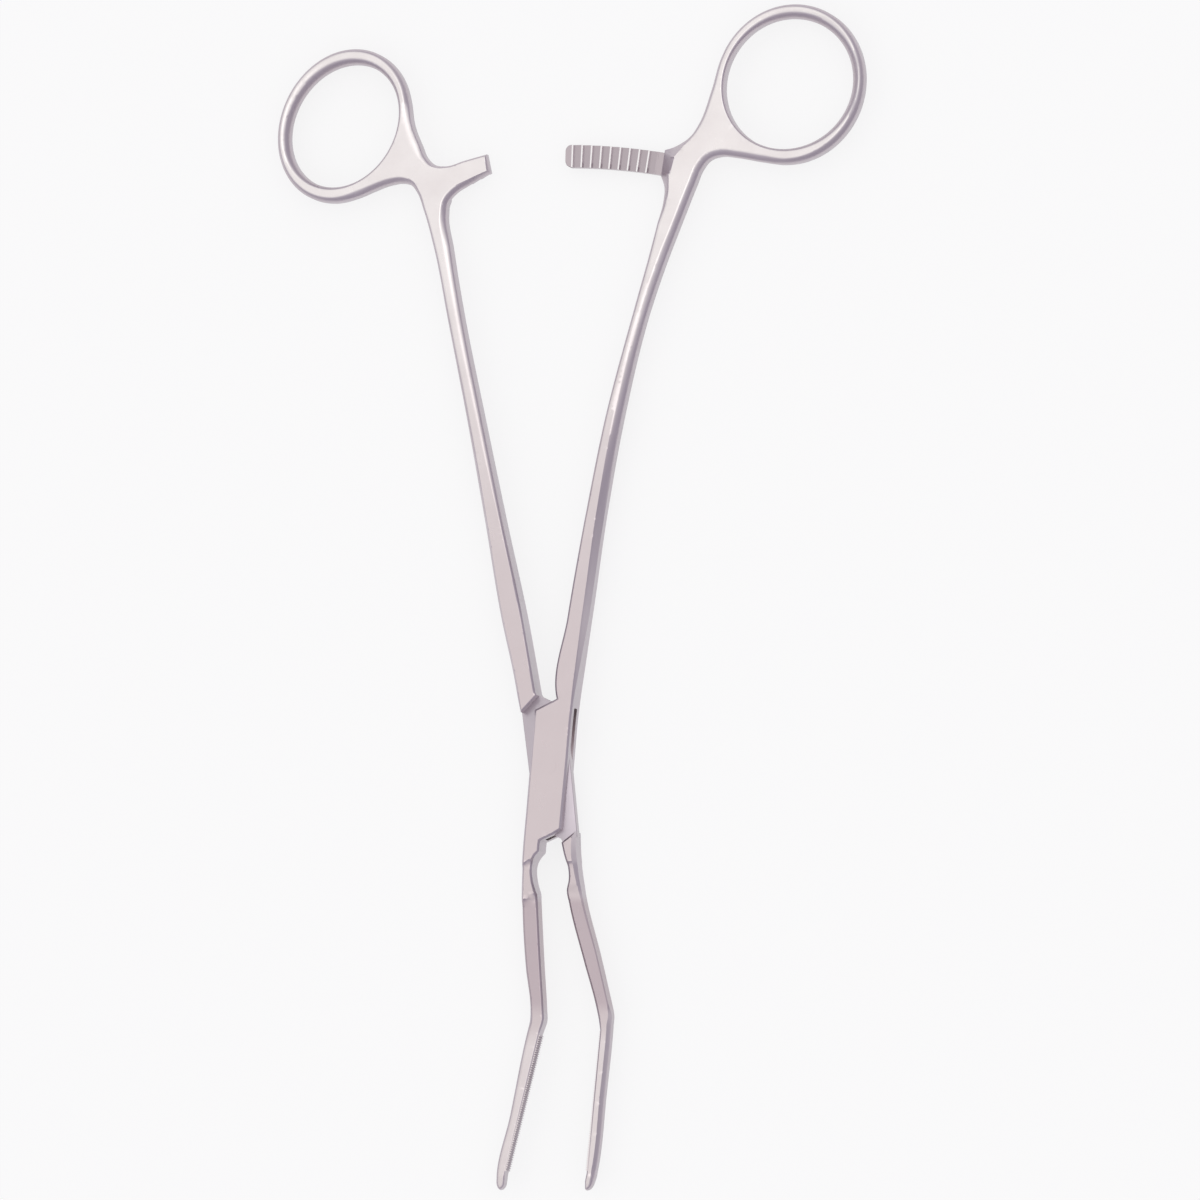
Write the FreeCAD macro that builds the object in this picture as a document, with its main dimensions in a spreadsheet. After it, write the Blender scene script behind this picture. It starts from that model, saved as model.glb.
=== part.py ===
import FreeCAD, Part
import math
import os
import Sketcher

# Bronchus clamp with a box lock: two forged halves and a flush pin.
# Each half is drawn closed, in its own frame: the pivot axis is Z, the rings are towards +Y, the parting
# plane of the forging is z = 0. The halves are then turned apart by half the opening angle each.

SIZES = {
    # Lock
    "opening_angle": 11.2,
    "box_thickness": 7.0,
    "box_half_width": 3.8,
    "box_top": 13.5,
    "edge_bevel": 0.4,
    "tongue_thickness": 2.4,
    "tongue_play": 0.05,
    "tongue_left": 4.1,
    "tongue_right": 4.1,
    "slot_wall_x": 4.8,
    "slot_wall_low": 11.4,
    "slot_wall_high": 14.9,
    "slot_reach": 8.0,
    "slot_end_x": 1.0,
    "slot_flare": 2.0,
    "slot_end_play": 0.45,
    "tongue_end_x": 0.9,
    "tongue_root": 1.0,
    "tongue_tuck": 0.2,
    "pin_radius": 1.6,
    "pin_play": 0.03,
    # Cheeks of the box
    "cheek_top_left": 10.95,
    "cheek_bottom_right": 12.3,
    "cheek_bottom_knee_x": 2.2,
    "cheek_bottom_knee_y": 13.5,
    "cheek_foot_x": 0.25,
    "cheek_foot_y": 14.9,
    "box_root_outer": 3.45,
    "box_shank_inner": 0.25,
    # Shoulders and jaw root of the inner half
    "shank_lead": 0.6,
    "straight_foot_inner": 1.2,
    "straight_foot_outer": 4.8,
    "shoulder_top_x": 0.95,
    "shoulder_top_inner": 14.4,
    "shoulder_top_outer": 11.4,
    "shoulder_foot_inner": 15.4,
    "shoulder_foot_outer": 13.5,
    "foot_inner_x": 1.2,
    "foot_outer_x": 4.05,
    "inner_root_low_x": 1.16,
    # Shanks: how far each station lies from the pivot, and its section
    "station_a": 30.0,
    "station_b": 50.0,
    "station_c": 70.0,
    "station_d": 92.0,
    "web_drop": 11.3,
    "shank_thick_a": 6.4,
    "shank_thick_b": 5.7,
    "shank_thick_c": 5.1,
    "shank_thick_d": 4.6,
    "shank_thick_e": 4.6,
    "shank_wall_a": 3.0,
    "shank_wall_b": 1.6,
    "shank_wall_c": 1.2,
    "shank_wall_d": 1.0,
    "shank_wall_e": 1.0,
    "bow_slope_a": 1.15,
    "bow_slope_b": 1.5,
    "bow_slope_c": 1.5,
    "bow_slope_d": 1.4,
    "bow_slope_e": 1.4,
    "straight_slope_a": 0.85,
    "straight_slope_b": 0.95,
    "straight_slope_c": 0.9,
    "straight_slope_d": 0.9,
    "straight_slope_e": 0.9,
    "bow_inner_a": 0.95,
    "bow_inner_b": 2.45,
    "bow_inner_c": 4.45,
    "bow_inner_d": 8.05,
    "bow_inner_e": 11.6,
    "bow_outer_a": 5.0,
    "bow_outer_b": 6.05,
    "bow_outer_c": 7.75,
    "bow_outer_d": 11.0,
    "bow_outer_e": 15.9,
    "straight_inner_a": 2.4,
    "straight_inner_b": 4.65,
    "straight_inner_c": 6.8,
    "straight_inner_d": 9.1,
    "straight_inner_e": 10.7,
    "straight_outer_a": 6.7,
    "straight_outer_b": 8.35,
    "straight_outer_c": 10.0,
    "straight_outer_d": 12.15,
    "straight_outer_e": 15.0,
    # Finger rings
    "ring_bar": 3.45,
    "ring_thickness": 4.3,
    "ring_crest": 0.3,
    "ring_round": 2.1,
    "ring_land": 1.2,
    "left_ring_x": 29.3,
    "left_ring_rise": 10.0,
    "left_ring_long": 12.85,
    "left_ring_short": 10.2,
    "left_ring_turn": 120.0,
    "right_ring_x": 35.6,
    "right_ring_rise": 17.0,
    "right_ring_long": 13.35,
    "right_ring_short": 12.3,
    "right_ring_turn": 50.0,
    # Webs between ring, shank and ratchet arm
    "web_thickness": 4.6,
    "web_draft": 22.0,
    "web_setback": 0.3,
    "web_overlap": 0.6,
    "web_lead": 6.0,
    "web_tuck": 1.7,
    "bow_crook_x": 18.4,
    "bow_crook_drop": 2.7,
    "bow_crook_radius": 5.0,
    "bow_under_x": 22.6,
    "bow_under_rise": 1.85,
    "bow_side_x": 20.1,
    "bow_neck_x": 17.6,
    "bow_neck_rise": 7.7,
    "bow_neck_radius": 8.0,
    "bow_arm_x": 11.8,
    "arm_root_x": 10.2,
    "arm_root_drop": 9.7,
    "arm_root_radius": 4.1,
    "arm_under_x": 7.9,
    "arm_under_drop": 5.7,
    "arm_end_low_x": 0.5,
    "arm_end_drop": 2.6,
    "arm_end_high_x": 0.9,
    "arm_end_rise": 1.2,
    "arm_top_x": 10.4,
    "arm_top_drop": 0.3,
    "arm_top_radius": 4.6,
    "straight_neck_x": 13.4,
    "straight_neck_rise": 3.2,
    "straight_side_x": 15.5,
    "straight_side_rise": 14.7,
    "straight_under_x": 18.9,
    "straight_under_drop": 2.2,
    "straight_crook_radius": 2.8,
    "straight_crook_x": 15.9,
    "straight_crook_drop": 4.5,
    # Ratchet
    "ratchet_radius": 122.3,
    "long_arm_width": 4.5,
    "long_arm_tip": 4.3,
    "long_arm_root": 6.2,
    "long_tooth_first": 3.6,
    "long_tooth_count": 9,
    "short_tooth_first": 0.45,
    "short_tooth_count": 4,
    "recess_start": 9.6,
    "recess_reach": 3.0,
    "recess_drop": 7.8,
    "recess_rise": 4.2,
    "tooth_height": 0.5,
    "tooth_angle": 0.905,
    "tooth_ramp": 1.3,
    "tooth_play": 0.05,
    # Jaws
    "jaw_start": 18.0,
    "root_end": 19.0,
    "scallop_low": 20.5,
    "scallop_reach": 5.0,
    "left_scallop_start": 16.0,
    "left_jaw_scallop_radius": 8.7,
    "right_jaw_scallop_radius": 14.5,
    "neck_step": 25.0,
    "neck_top": 27.0,
    "jaw_bend": 50.0,
    "bend_half": 1.3,
    "blade_end": 82.0,
    "jaw_tip": 84.6,
    "root_thick": 5.6,
    "neck_thick": 4.2,
    "blade_thick": 3.6,
    "tip_thick": 2.2,
    "jaw_bevel": 0.35,
    "serration_pitch": 0.45,
    "serration_width": 0.4,
    "serration_depth": 0.22,
    "serration_lead": 0.02,
    "serration_first": 1.5,
    "serration_count": 62,
    "left_jaw_inner_a": 0.25,
    "left_jaw_inner_b": 0.2,
    "left_jaw_inner_c": 0.05,
    "left_jaw_inner_d": -0.3,
    "left_jaw_inner_e": -3.45,
    "left_jaw_inner_f": -3.5,
    "left_jaw_inner_g": 1.0,
    "left_jaw_inner_h": 1.4,
    "left_jaw_outer_a": 3.5,
    "left_jaw_outer_b": 3.42,
    "left_jaw_outer_c": 3.1,
    "left_jaw_outer_d": 2.9,
    "left_jaw_outer_e": -0.9,
    "left_jaw_outer_f": -0.85,
    "left_jaw_outer_g": 3.05,
    "left_jaw_outer_h": 2.6,
    "right_jaw_inner_a": 1.17,
    "right_jaw_inner_b": 1.15,
    "right_jaw_inner_c": 1.1,
    "right_jaw_inner_d": 1.25,
    "right_jaw_inner_e": 4.88,
    "right_jaw_inner_f": 4.95,
    "right_jaw_inner_g": -0.88,
    "right_jaw_inner_h": -1.28,
    "right_jaw_outer_a": 3.75,
    "right_jaw_outer_b": 3.8,
    "right_jaw_outer_c": 4.0,
    "right_jaw_outer_d": 4.15,
    "right_jaw_outer_e": 7.3,
    "right_jaw_outer_f": 7.45,
    "right_jaw_outer_g": 1.2,
    "right_jaw_outer_h": -0.1,
}

# What lies beside the ratchet or above the shoulder is placed from it, by the clearances above.
PLACES = {
    "straight_foot": "=shoulder_top_inner + shank_lead",
    "station_e": "=ratchet_radius - web_drop",
    "left_ring_y": "=ratchet_radius + left_ring_rise",
    "right_ring_y": "=ratchet_radius + right_ring_rise",
    "bow_crook_y": "=ratchet_radius - bow_crook_drop",
    "bow_under_y": "=ratchet_radius + bow_under_rise",
    "bow_neck_y": "=ratchet_radius + bow_neck_rise",
    "arm_root_y": "=ratchet_radius - arm_root_drop",
    "arm_under_y": "=ratchet_radius - arm_under_drop",
    "arm_end_low_y": "=ratchet_radius - arm_end_drop",
    "arm_end_high_y": "=ratchet_radius + arm_end_rise",
    "arm_top_y": "=ratchet_radius - arm_top_drop",
    "straight_neck_y": "=ratchet_radius + straight_neck_rise",
    "straight_side_y": "=ratchet_radius + straight_side_rise",
    "straight_under_y": "=ratchet_radius - straight_under_drop",
    "straight_crook_y": "=ratchet_radius - straight_crook_drop",
    "recess_low": "=ratchet_radius - recess_drop",
    "recess_high": "=ratchet_radius + recess_rise",
}


def build_sheet(doc):
    """Writes the driving dimensions into the spreadsheet, one aliased cell each."""
    sheet = doc.addObject("Spreadsheet::Sheet", "sizes")
    for row, (alias, value) in enumerate({**SIZES, **PLACES}.items(), start=1):
        sheet.set(f"A{row}", alias.replace("_", " "))
        sheet.set(f"B{row}", str(value))
        sheet.setAlias(f"B{row}", alias)
    doc.recompute()
    return sheet


doc = FreeCAD.newDocument("bronchus_clamp")
sheet = build_sheet(doc)


def value_of(expression):
    """Works out a size expression from the spreadsheet."""
    result = sheet.evalExpression(expression)
    return float(getattr(result, "Value", result))


def size(alias):
    """Reads one driving dimension."""
    return value_of(f"sizes.{alias}")


def new_body(label):
    """Starts one forged piece or pin."""
    body = doc.addObject("PartDesign::Body", label)
    body.Label = label
    return body


def origin_feature(body, role):
    """Finds one of a body's own origin planes or axes."""
    return next(feature for feature in body.Origin.OriginFeatures if feature.Role == role)


def new_sketch(body, name, role="XY_Plane", offset=None):
    """Starts a sketch on an origin plane; offset is an expression along the plane's normal."""
    sketch = body.newObject("Sketcher::SketchObject", name)
    sketch.AttachmentSupport = (origin_feature(body, role), [""])
    sketch.MapMode = "FlatFace"
    if offset:
        sketch.setExpression("AttachmentOffset.Base.z", offset)
    return sketch


def pin_down(sketch, kind, geometry, point, expression):
    """Binds one coordinate of a sketch point to a size expression."""
    value = value_of(expression)
    if value == 0.0:
        axis = -2 if kind == "DistanceX" else -1
        sketch.addConstraint(Sketcher.Constraint("PointOnObject", geometry, point, axis))
        return
    index = sketch.addConstraint(Sketcher.Constraint(kind, -1, 1, geometry, point, value))
    sketch.setExpression(f"Constraints[{index}]", expression)


def arc_between(start, end, radius):
    """Makes an arc from start to end; a positive radius bulges to the right of the way, a negative one left."""
    chord = end - start
    reach = chord.Length / 2
    rise = math.sqrt(max(radius * radius - reach * reach, 0.0))
    left_normal = FreeCAD.Vector(-chord.y, chord.x, 0).normalize()
    side = 1 if radius > 0 else -1
    centre = (start + end) / 2 + left_normal * rise * side
    spread = [math.atan2(p.y - centre.y, p.x - centre.x) for p in (start, end)]
    first, last = spread if radius > 0 else reversed(spread)
    circle = Part.Circle(centre, FreeCAD.Vector(0, 0, 1), abs(radius))
    return Part.ArcOfCircle(circle, first, last)


def draw_outline(sketch, corners):
    """Draws a closed outline. A corner is (x, y) or (x, y, radius): the radius bends the way to the next one."""
    points = [FreeCAD.Vector(value_of(c[0]), value_of(c[1]), 0) for c in corners]
    ends = []
    for index, corner in enumerate(corners):
        start, end = points[index], points[(index + 1) % len(points)]
        radius = value_of(corner[2]) if len(corner) > 2 else 0.0
        if radius:
            geometry = sketch.addGeometry(arc_between(start, end, radius), False)
            constraint = Sketcher.Constraint("Radius", geometry, abs(radius))
            bound = sketch.addConstraint(constraint)
            sketch.setExpression(f"Constraints[{bound}]", f"abs({corner[2]})")
            ends.append((geometry, 1, 2) if radius > 0 else (geometry, 2, 1))
        else:
            geometry = sketch.addGeometry(Part.LineSegment(start, end), False)
            ends.append((geometry, 1, 2))
    for index, (geometry, start_point, end_point) in enumerate(ends):
        following, following_start, _ = ends[(index + 1) % len(ends)]
        sketch.addConstraint(Sketcher.Constraint("Coincident", geometry, end_point, following, following_start))
        pin_down(sketch, "DistanceX", geometry, start_point, corners[index][0])
        pin_down(sketch, "DistanceY", geometry, start_point, corners[index][1])


def draw_oval(sketch, long_half, short_half):
    """Draws an oval of four tangent arcs about the sketch's origin, its long axis along X."""
    end_radius = f"(({short_half}) * ({short_half}) / ({long_half}))"
    side_radius = f"(({long_half}) * (({long_half}) + ({short_half})) / (2 * ({short_half})))"
    spread = f"({side_radius} - {end_radius})"
    joint_x = f"({side_radius} * (({long_half}) - {end_radius}) / {spread})"
    joint_y = f"({end_radius} * ({side_radius} - ({short_half})) / {spread})"
    draw_outline(sketch, [
        (joint_x, f"-1 * {joint_y}", end_radius),
        (joint_x, joint_y, side_radius),
        (f"-1 * {joint_x}", joint_y, end_radius),
        (f"-1 * {joint_x}", f"-1 * {joint_y}", side_radius),
    ])


def pad(body, sketch, name, thickness, draft=None):
    """Pads a sketch evenly to both sides of the parting plane, with draft if one is given."""
    feature = body.newObject("PartDesign::Pad", name)
    feature.Profile = sketch
    feature.SideType = "Two sides"
    for length in ("Length", "Length2"):
        feature.setExpression(length, f"({thickness}) / 2")
    if draft:
        for angle in ("TaperAngle", "TaperAngle2"):
            feature.setExpression(angle, f"-({draft})")
    return feature


def pocket(body, sketch, name, depth=None):
    """Cuts a sketch through to both sides of the parting plane, right through or to a depth."""
    feature = body.newObject("PartDesign::Pocket", name)
    feature.Profile = sketch
    feature.SideType = "Two sides"
    if depth:
        for length in ("Length", "Length2"):
            feature.setExpression(length, f"({depth}) / 2")
    else:
        feature.Type = "ThroughAll"
        feature.Type2 = "ThroughAll"
    return feature


def edges_where(feature, test):
    """Lists the names of a feature's edges that pass a test."""
    return [f"Edge{i}" for i, edge in enumerate(feature.Shape.Edges, start=1) if test(edge)]


def bevel(body, feature, name, test, width):
    """Bevels the chosen edges of a feature."""
    doc.recompute()
    chamfer = body.newObject("PartDesign::Chamfer", name)
    chamfer.Base = (feature, edges_where(feature, test))
    chamfer.setExpression("Size", width)
    return chamfer


def loft(body, name, sections, ruled):
    """Lofts through section sketches."""
    feature = body.newObject("PartDesign::AdditiveLoft", name)
    feature.Profile = sections[0]
    feature.Sections = sections[1:]
    feature.Ruled = ruled
    return feature


def draw_section(body, name, height, inner, outer, thickness, wall, slope, edge, side):
    """Draws one forged section across Y: a flat inner side, and an outer side that slopes out to a low wall.

    The first values are size expressions; side is +1 where the outer side lies towards +X.
    """
    sketch = new_sketch(body, name, "XZ_Plane", f"-({height})")
    sign = "" if side > 0 else "-1 * "
    half = f"({thickness}) / 2"
    corners = []
    for face in ("-1 * ", ""):
        rows = [
            (f"{sign}({inner})", f"{face}({half} - {edge})"),
            (f"{sign}(({inner}) + {edge})", f"{face}({half})"),
            (f"{sign}(({outer}) - ({slope}))", f"{face}({half})"),
            (f"{sign}({outer})", f"{face}(({wall}) / 2)"),
        ]
        corners += rows if face else rows[::-1]
    draw_outline(sketch, corners)
    return sketch


def shank(body, kind, start, inner_start, outer_start, side):
    """Makes a shank: a loft from the lock to the web, with its stations named in the sheet."""
    sections = [
        draw_section(body, "shank_foot", start, inner_start, outer_start, "sizes.box_thickness",
                     "sizes.box_thickness - 2 * sizes.edge_bevel", "sizes.edge_bevel", "sizes.edge_bevel", side)
    ]
    for letter in "abcde":
        sections.append(draw_section(
            body, f"shank_section_{letter}", f"sizes.station_{letter}",
            f"sizes.{kind}_inner_{letter}", f"sizes.{kind}_outer_{letter}", f"sizes.shank_thick_{letter}",
            f"sizes.shank_wall_{letter}", f"sizes.{kind}_slope_{letter}", "sizes.edge_bevel", side))
    return loft(body, "shank", sections, False)


def turned_sketch(body, name, role, turn, base):
    """Starts a sketch on an origin plane, shifted and turned about the pivot's direction by expressions."""
    sketch = new_sketch(body, name, role)
    axis = FreeCAD.Vector(0, 0, 1) if role == "XY_Plane" else FreeCAD.Vector(0, 1, 0)
    sketch.AttachmentOffset = FreeCAD.Placement(FreeCAD.Vector(), FreeCAD.Rotation(axis, value_of(turn)))
    for letter, expression in base.items():
        sketch.setExpression(f"AttachmentOffset.Base.{letter}", expression)
    sketch.setExpression("AttachmentOffset.Rotation.Angle", f"({turn}) * 1 deg")
    return sketch


def finger_ring(body, prefix, side):
    """Makes a ring: a bar swept round an oval, after the web has been cleared from the opening."""
    centre_x = f"{'' if side > 0 else '-1 * '}sizes.{prefix}_ring_x"
    centre_y = f"sizes.{prefix}_ring_y"
    long_half = f"sizes.{prefix}_ring_long"
    short_half = f"sizes.{prefix}_ring_short"
    turn = f"sizes.{prefix}_ring_turn" if side > 0 else f"180 - sizes.{prefix}_ring_turn"
    opening = turned_sketch(body, "ring_opening", "XY_Plane", turn, {"x": centre_x, "y": centre_y})
    draw_oval(opening, f"{long_half} + sizes.web_setback", f"{short_half} + sizes.web_setback")
    pocket(body, opening, "finger_opening")
    path = turned_sketch(body, "ring_path", "XY_Plane", turn, {"x": centre_x, "y": centre_y})
    draw_oval(path, f"{long_half} + sizes.ring_bar / 2", f"{short_half} + sizes.ring_bar / 2")
    across = f"({turn} + 90)"
    reach = f"({short_half} + sizes.ring_bar / 2)"
    section = turned_sketch(body, "ring_section", "XZ_Plane", across, {
        "x": f"{centre_x} + {reach} * cos({across})",
        "z": f"-1 * ({centre_y} + {reach} * sin({across}))",
    })
    draw_outline(section, [
        ("sizes.ring_bar / 2", "0", "sizes.ring_round"),
        ("sizes.ring_crest", "sizes.ring_thickness / 2"),
        ("-1 * sizes.ring_bar / 2", "sizes.ring_land / 2"),
        ("-1 * sizes.ring_bar / 2", "-1 * sizes.ring_land / 2"),
        ("sizes.ring_crest", "-1 * sizes.ring_thickness / 2", "sizes.ring_round"),
    ])
    ring = body.newObject("PartDesign::AdditivePipe", "ring")
    ring.Profile = section
    ring.Spine = (path, ["Edge1", "Edge2", "Edge3", "Edge4"])
    return ring


def jaw(body, kind, side):
    """Makes a jaw: a ruled loft from the lock's root through the neck and the bend to the blade's tip."""
    heights = ["sizes.jaw_start", "sizes.scallop_low", "sizes.neck_step", "sizes.neck_top",
               "(sizes.jaw_bend - sizes.bend_half)", "(sizes.jaw_bend + sizes.bend_half)", "sizes.blade_end",
               "sizes.jaw_tip"]
    thicks = ["sizes.root_thick", "sizes.root_thick", "sizes.root_thick", "sizes.neck_thick",
              "sizes.neck_thick", "sizes.neck_thick", "sizes.blade_thick", "sizes.tip_thick"]
    sections = []
    for letter, height, thick in zip("abcdefgh", heights, thicks):
        inner, outer = f"sizes.{kind}_inner_{letter}", f"sizes.{kind}_outer_{letter}"
        wall = f"{thick} - 2 * sizes.jaw_bevel"
        sections.append(draw_section(body, f"jaw_section_{letter}", f"-1 * {height}", inner, outer, thick,
                                     wall, "sizes.jaw_bevel", "sizes.jaw_bevel", side))
    return loft(body, "jaw", sections, True)


def scallop(body, kind, top_x, top_y, side):
    """Hollows the gripping side of a jaw's root by one round cut, from the lock down to the neck."""
    sign = "" if side > 0 else "-1 * "
    reach = f"({sign}-1 * sizes.scallop_reach)"
    foot_x = f"{sign}sizes.{kind}_inner_c"
    outline = new_sketch(body, "scallop_outline")
    draw_outline(outline, [
        (top_x, top_y, f"{'' if side < 0 else '-1 * '}sizes.{kind}_scallop_radius"),
        (foot_x, "-1 * sizes.neck_step"),
        (reach, "-1 * sizes.neck_step"),
        (reach, top_y),
    ])
    return pocket(body, outline, "scallop")


def serrations(body, kind, side):
    """Cuts the fine cross serrations into a blade, as a pattern down its gripping edge."""
    sign = "" if side > 0 else "-1 * "
    start_y = "(sizes.jaw_bend + sizes.bend_half)"
    lean = f"(sizes.{kind}_inner_g - sizes.{kind}_inner_f) / (sizes.blade_end - {start_y})"
    section = turned_sketch(body, "serration_section", "XY_Plane", f"{sign}atan({lean})", {
        "x": f"{sign}sizes.{kind}_inner_f",
        "y": f"-1 * {start_y}",
    })
    half_width = "sizes.serration_width / 2"
    outside = f"{sign}-1 * sizes.serration_lead"
    draw_outline(section, [
        (outside, f"-1 * (sizes.serration_first - {half_width})"),
        (f"{sign}sizes.serration_depth", "-1 * sizes.serration_first"),
        (outside, f"-1 * (sizes.serration_first + {half_width})"),
    ])
    notch = pocket(body, section, "serration")
    doc.recompute()
    pattern = body.newObject("PartDesign::LinearPattern", "serration_row")
    pattern.Originals = [notch]
    pattern.Direction = (section, ["V_Axis"])
    pattern.Reversed = True
    pattern.setExpression("Length", "sizes.serration_pitch * (sizes.serration_count - 1)")
    pattern.setExpression("Occurrences", "sizes.serration_count")
    body.Tip = pattern
    return pattern


def sector(inner, outer, start, end):
    """Lists the corners of a band about the pivot, from a start to an end angle off the Y axis."""
    return [
        (f"{inner} * sin({start})", f"{inner} * cos({start})", f"-1 * ({inner})"),
        (f"{inner} * sin({end})", f"{inner} * cos({end})"),
        (f"{outer} * sin({end})", f"{outer} * cos({end})", f"{outer}"),
        (f"{outer} * sin({start})", f"{outer} * cos({start})"),
    ]


def tooth_notches(body, name, start, count, face, way):
    """Cuts saw-tooth notches across a ratchet arm, as a pattern about the pivot.

    start is the first tooth's angle off the Y axis, face is +1 for teeth that look forwards and -1 for teeth
    that look back, and way is +1 where the pattern runs towards +X.
    """
    pitch = "(sizes.ratchet_radius * sizes.tooth_angle * pi / 180)"
    section = turned_sketch(body, f"{name}_section", "XZ_Plane", f"-1 * ({start})", {
        "x": f"sizes.ratchet_radius * sin({start})",
        "z": f"-1 * sizes.ratchet_radius * cos({start})",
    })
    above, below = ("", "-1 * ") if face > 0 else ("-1 * ", "")
    crest = f"{above}(sizes.tooth_height)"
    valley = f"{below}(sizes.tooth_play + sizes.tooth_height)"
    ramp_end = f"{'' if way > 0 else '-1 * '}{pitch} * sizes.tooth_ramp"
    draw_outline(section, [("0", crest), ("0", valley), (ramp_end, crest)])
    notch = body.newObject("PartDesign::Pocket", name)
    notch.Profile = section
    notch.SideType = "Two sides"
    for length in ("Length", "Length2"):
        notch.setExpression(length, "sizes.long_arm_width")
    doc.recompute()
    pattern = body.newObject("PartDesign::PolarPattern", f"{name}_row")
    pattern.Originals = [notch]
    pattern.Axis = (origin_feature(body, "Z_Axis"), [""])
    pattern.Reversed = way > 0
    pattern.setExpression("Angle", f"sizes.tooth_angle * ({count} - 1)")
    pattern.setExpression("Occurrences", count)
    body.Tip = pattern
    return pattern


def pin_bore(body, radius):
    """Bores the hole for the lock pin."""
    sketch = new_sketch(body, "bore_outline")
    circle = sketch.addGeometry(Part.Circle(FreeCAD.Vector(), FreeCAD.Vector(0, 0, 1), value_of(radius)), False)
    sketch.addConstraint(Sketcher.Constraint("Coincident", circle, 3, -1, 1))
    index = sketch.addConstraint(Sketcher.Constraint("Radius", circle, value_of(radius)))
    sketch.setExpression(f"Constraints[{index}]", radius)
    return pocket(body, sketch, "pin_bore")


def place(body, way):
    """Lays a piece on its rest face and turns it open by half the opening angle."""
    turn = f"{'-1 * ' if way < 0 else ''}sizes.opening_angle / 2"
    body.Placement = FreeCAD.Placement(FreeCAD.Vector(), FreeCAD.Rotation(FreeCAD.Vector(0, 0, 1), value_of(turn)))
    body.setExpression("Placement.Rotation.Angle", f"{turn} * 1 deg")
    body.setExpression("Placement.Base.z", "sizes.box_thickness / 2")


def on_faces(edge, half, low, high):
    """Tells whether an edge lies on a front or back face, away from the ends where the loft goes on."""
    points = [vertex.Point for vertex in edge.Vertexes]
    if any(abs(abs(point.z) - half) > 1e-6 for point in points):
        return False
    return not any(all(abs(point.y - end) < 1e-6 for point in points) for end in (low, high))


def make_box_half():
    """Makes the half with the slotted box, the right ring and the long ratchet arm."""
    body = new_body("box_half")
    cheeks = new_sketch(body, "cheek_outline")
    draw_outline(cheeks, [
        ("sizes.box_half_width", "-1 * sizes.cheek_bottom_right"),
        ("sizes.box_half_width", "sizes.box_top"),
        ("sizes.box_shank_inner", "sizes.box_top"),
        ("-1 * sizes.box_half_width", "sizes.cheek_top_left"),
        ("-1 * sizes.box_root_outer", "-1 * sizes.root_end"),
        ("-1 * sizes.cheek_foot_x", "-1 * sizes.root_end"),
        ("-1 * sizes.cheek_foot_x", "-1 * sizes.cheek_foot_y"),
        ("sizes.cheek_bottom_knee_x", "-1 * sizes.cheek_bottom_knee_y"),
    ])
    box = pad(body, cheeks, "box", "sizes.box_thickness")
    half = size("box_thickness") / 2
    ends = (-size("root_end"), size("box_top"))
    bevel(body, box, "box_bevel", lambda edge: on_faces(edge, half, *ends), "sizes.edge_bevel")
    shank(body, "bow", "sizes.box_top", "sizes.box_shank_inner", "sizes.box_half_width", 1)
    jaw(body, "left_jaw", -1)
    scallop(body, "left_jaw", "-1 * sizes.cheek_foot_x", "-1 * sizes.left_scallop_start", -1)
    serrations(body, "left_jaw", -1)
    web = new_sketch(body, "web_outline")
    draw_outline(web, [
        ("sizes.bow_inner_e - sizes.web_overlap", "sizes.station_e - sizes.web_lead"),
        ("sizes.bow_outer_e - sizes.web_tuck", "sizes.station_e - sizes.web_lead"),
        ("sizes.bow_crook_x", "sizes.bow_crook_y", "-1 * sizes.bow_crook_radius"),
        ("sizes.bow_under_x", "sizes.bow_under_y"),
        ("sizes.right_ring_x - sizes.ring_bar", "sizes.right_ring_y - sizes.right_ring_short - sizes.ring_bar"),
        ("sizes.right_ring_x", "sizes.right_ring_y"),
        ("sizes.bow_side_x", "sizes.right_ring_y"),
        ("sizes.bow_neck_x", "sizes.bow_neck_y", "-1 * sizes.bow_neck_radius"),
        ("sizes.bow_arm_x", "sizes.ratchet_radius + sizes.long_arm_width / 2"),
        ("sizes.bow_arm_x", "sizes.ratchet_radius - sizes.long_arm_width"),
    ])
    pad(body, web, "web", "sizes.web_thickness", "sizes.web_draft")
    finger_ring(body, "right", 1)
    arm = new_sketch(body, "long_arm_outline", "XY_Plane", "-1 * sizes.web_thickness / 2")
    draw_outline(arm, sector("(sizes.ratchet_radius - sizes.long_arm_width / 2)",
                             "(sizes.ratchet_radius + sizes.long_arm_width / 2)",
                             "(-1 * sizes.long_arm_tip)", "sizes.long_arm_root"))
    arm_pad = body.newObject("PartDesign::Pad", "long_arm")
    arm_pad.Profile = arm
    arm_pad.setExpression("Length", "sizes.web_thickness / 2 - sizes.tooth_play")
    doc.recompute()
    tooth_notches(body, "long_teeth", "-1 * sizes.long_tooth_first", "sizes.long_tooth_count", 1, 1)
    slot = new_sketch(body, "slot_outline")
    draw_outline(slot, [
        ("sizes.slot_wall_x", "sizes.slot_wall_low"),
        ("-1 * sizes.slot_end_x", "sizes.slot_wall_high"),
        ("-1 * sizes.slot_reach", "sizes.slot_wall_high"),
        ("-1 * sizes.slot_reach", "-1 * sizes.slot_wall_low + sizes.slot_flare"),
        ("-1 * sizes.slot_wall_x", "-1 * sizes.slot_wall_low"),
        ("sizes.slot_end_x", "-1 * sizes.slot_wall_high"),
        ("sizes.slot_reach", "-1 * sizes.slot_wall_high"),
        ("sizes.slot_reach", "sizes.slot_wall_low - sizes.slot_flare"),
    ])
    pocket(body, slot, "slot", "sizes.tongue_thickness + 2 * sizes.tongue_play")
    pin_bore(body, "sizes.pin_radius")
    place(body, -1)
    return body


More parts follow.
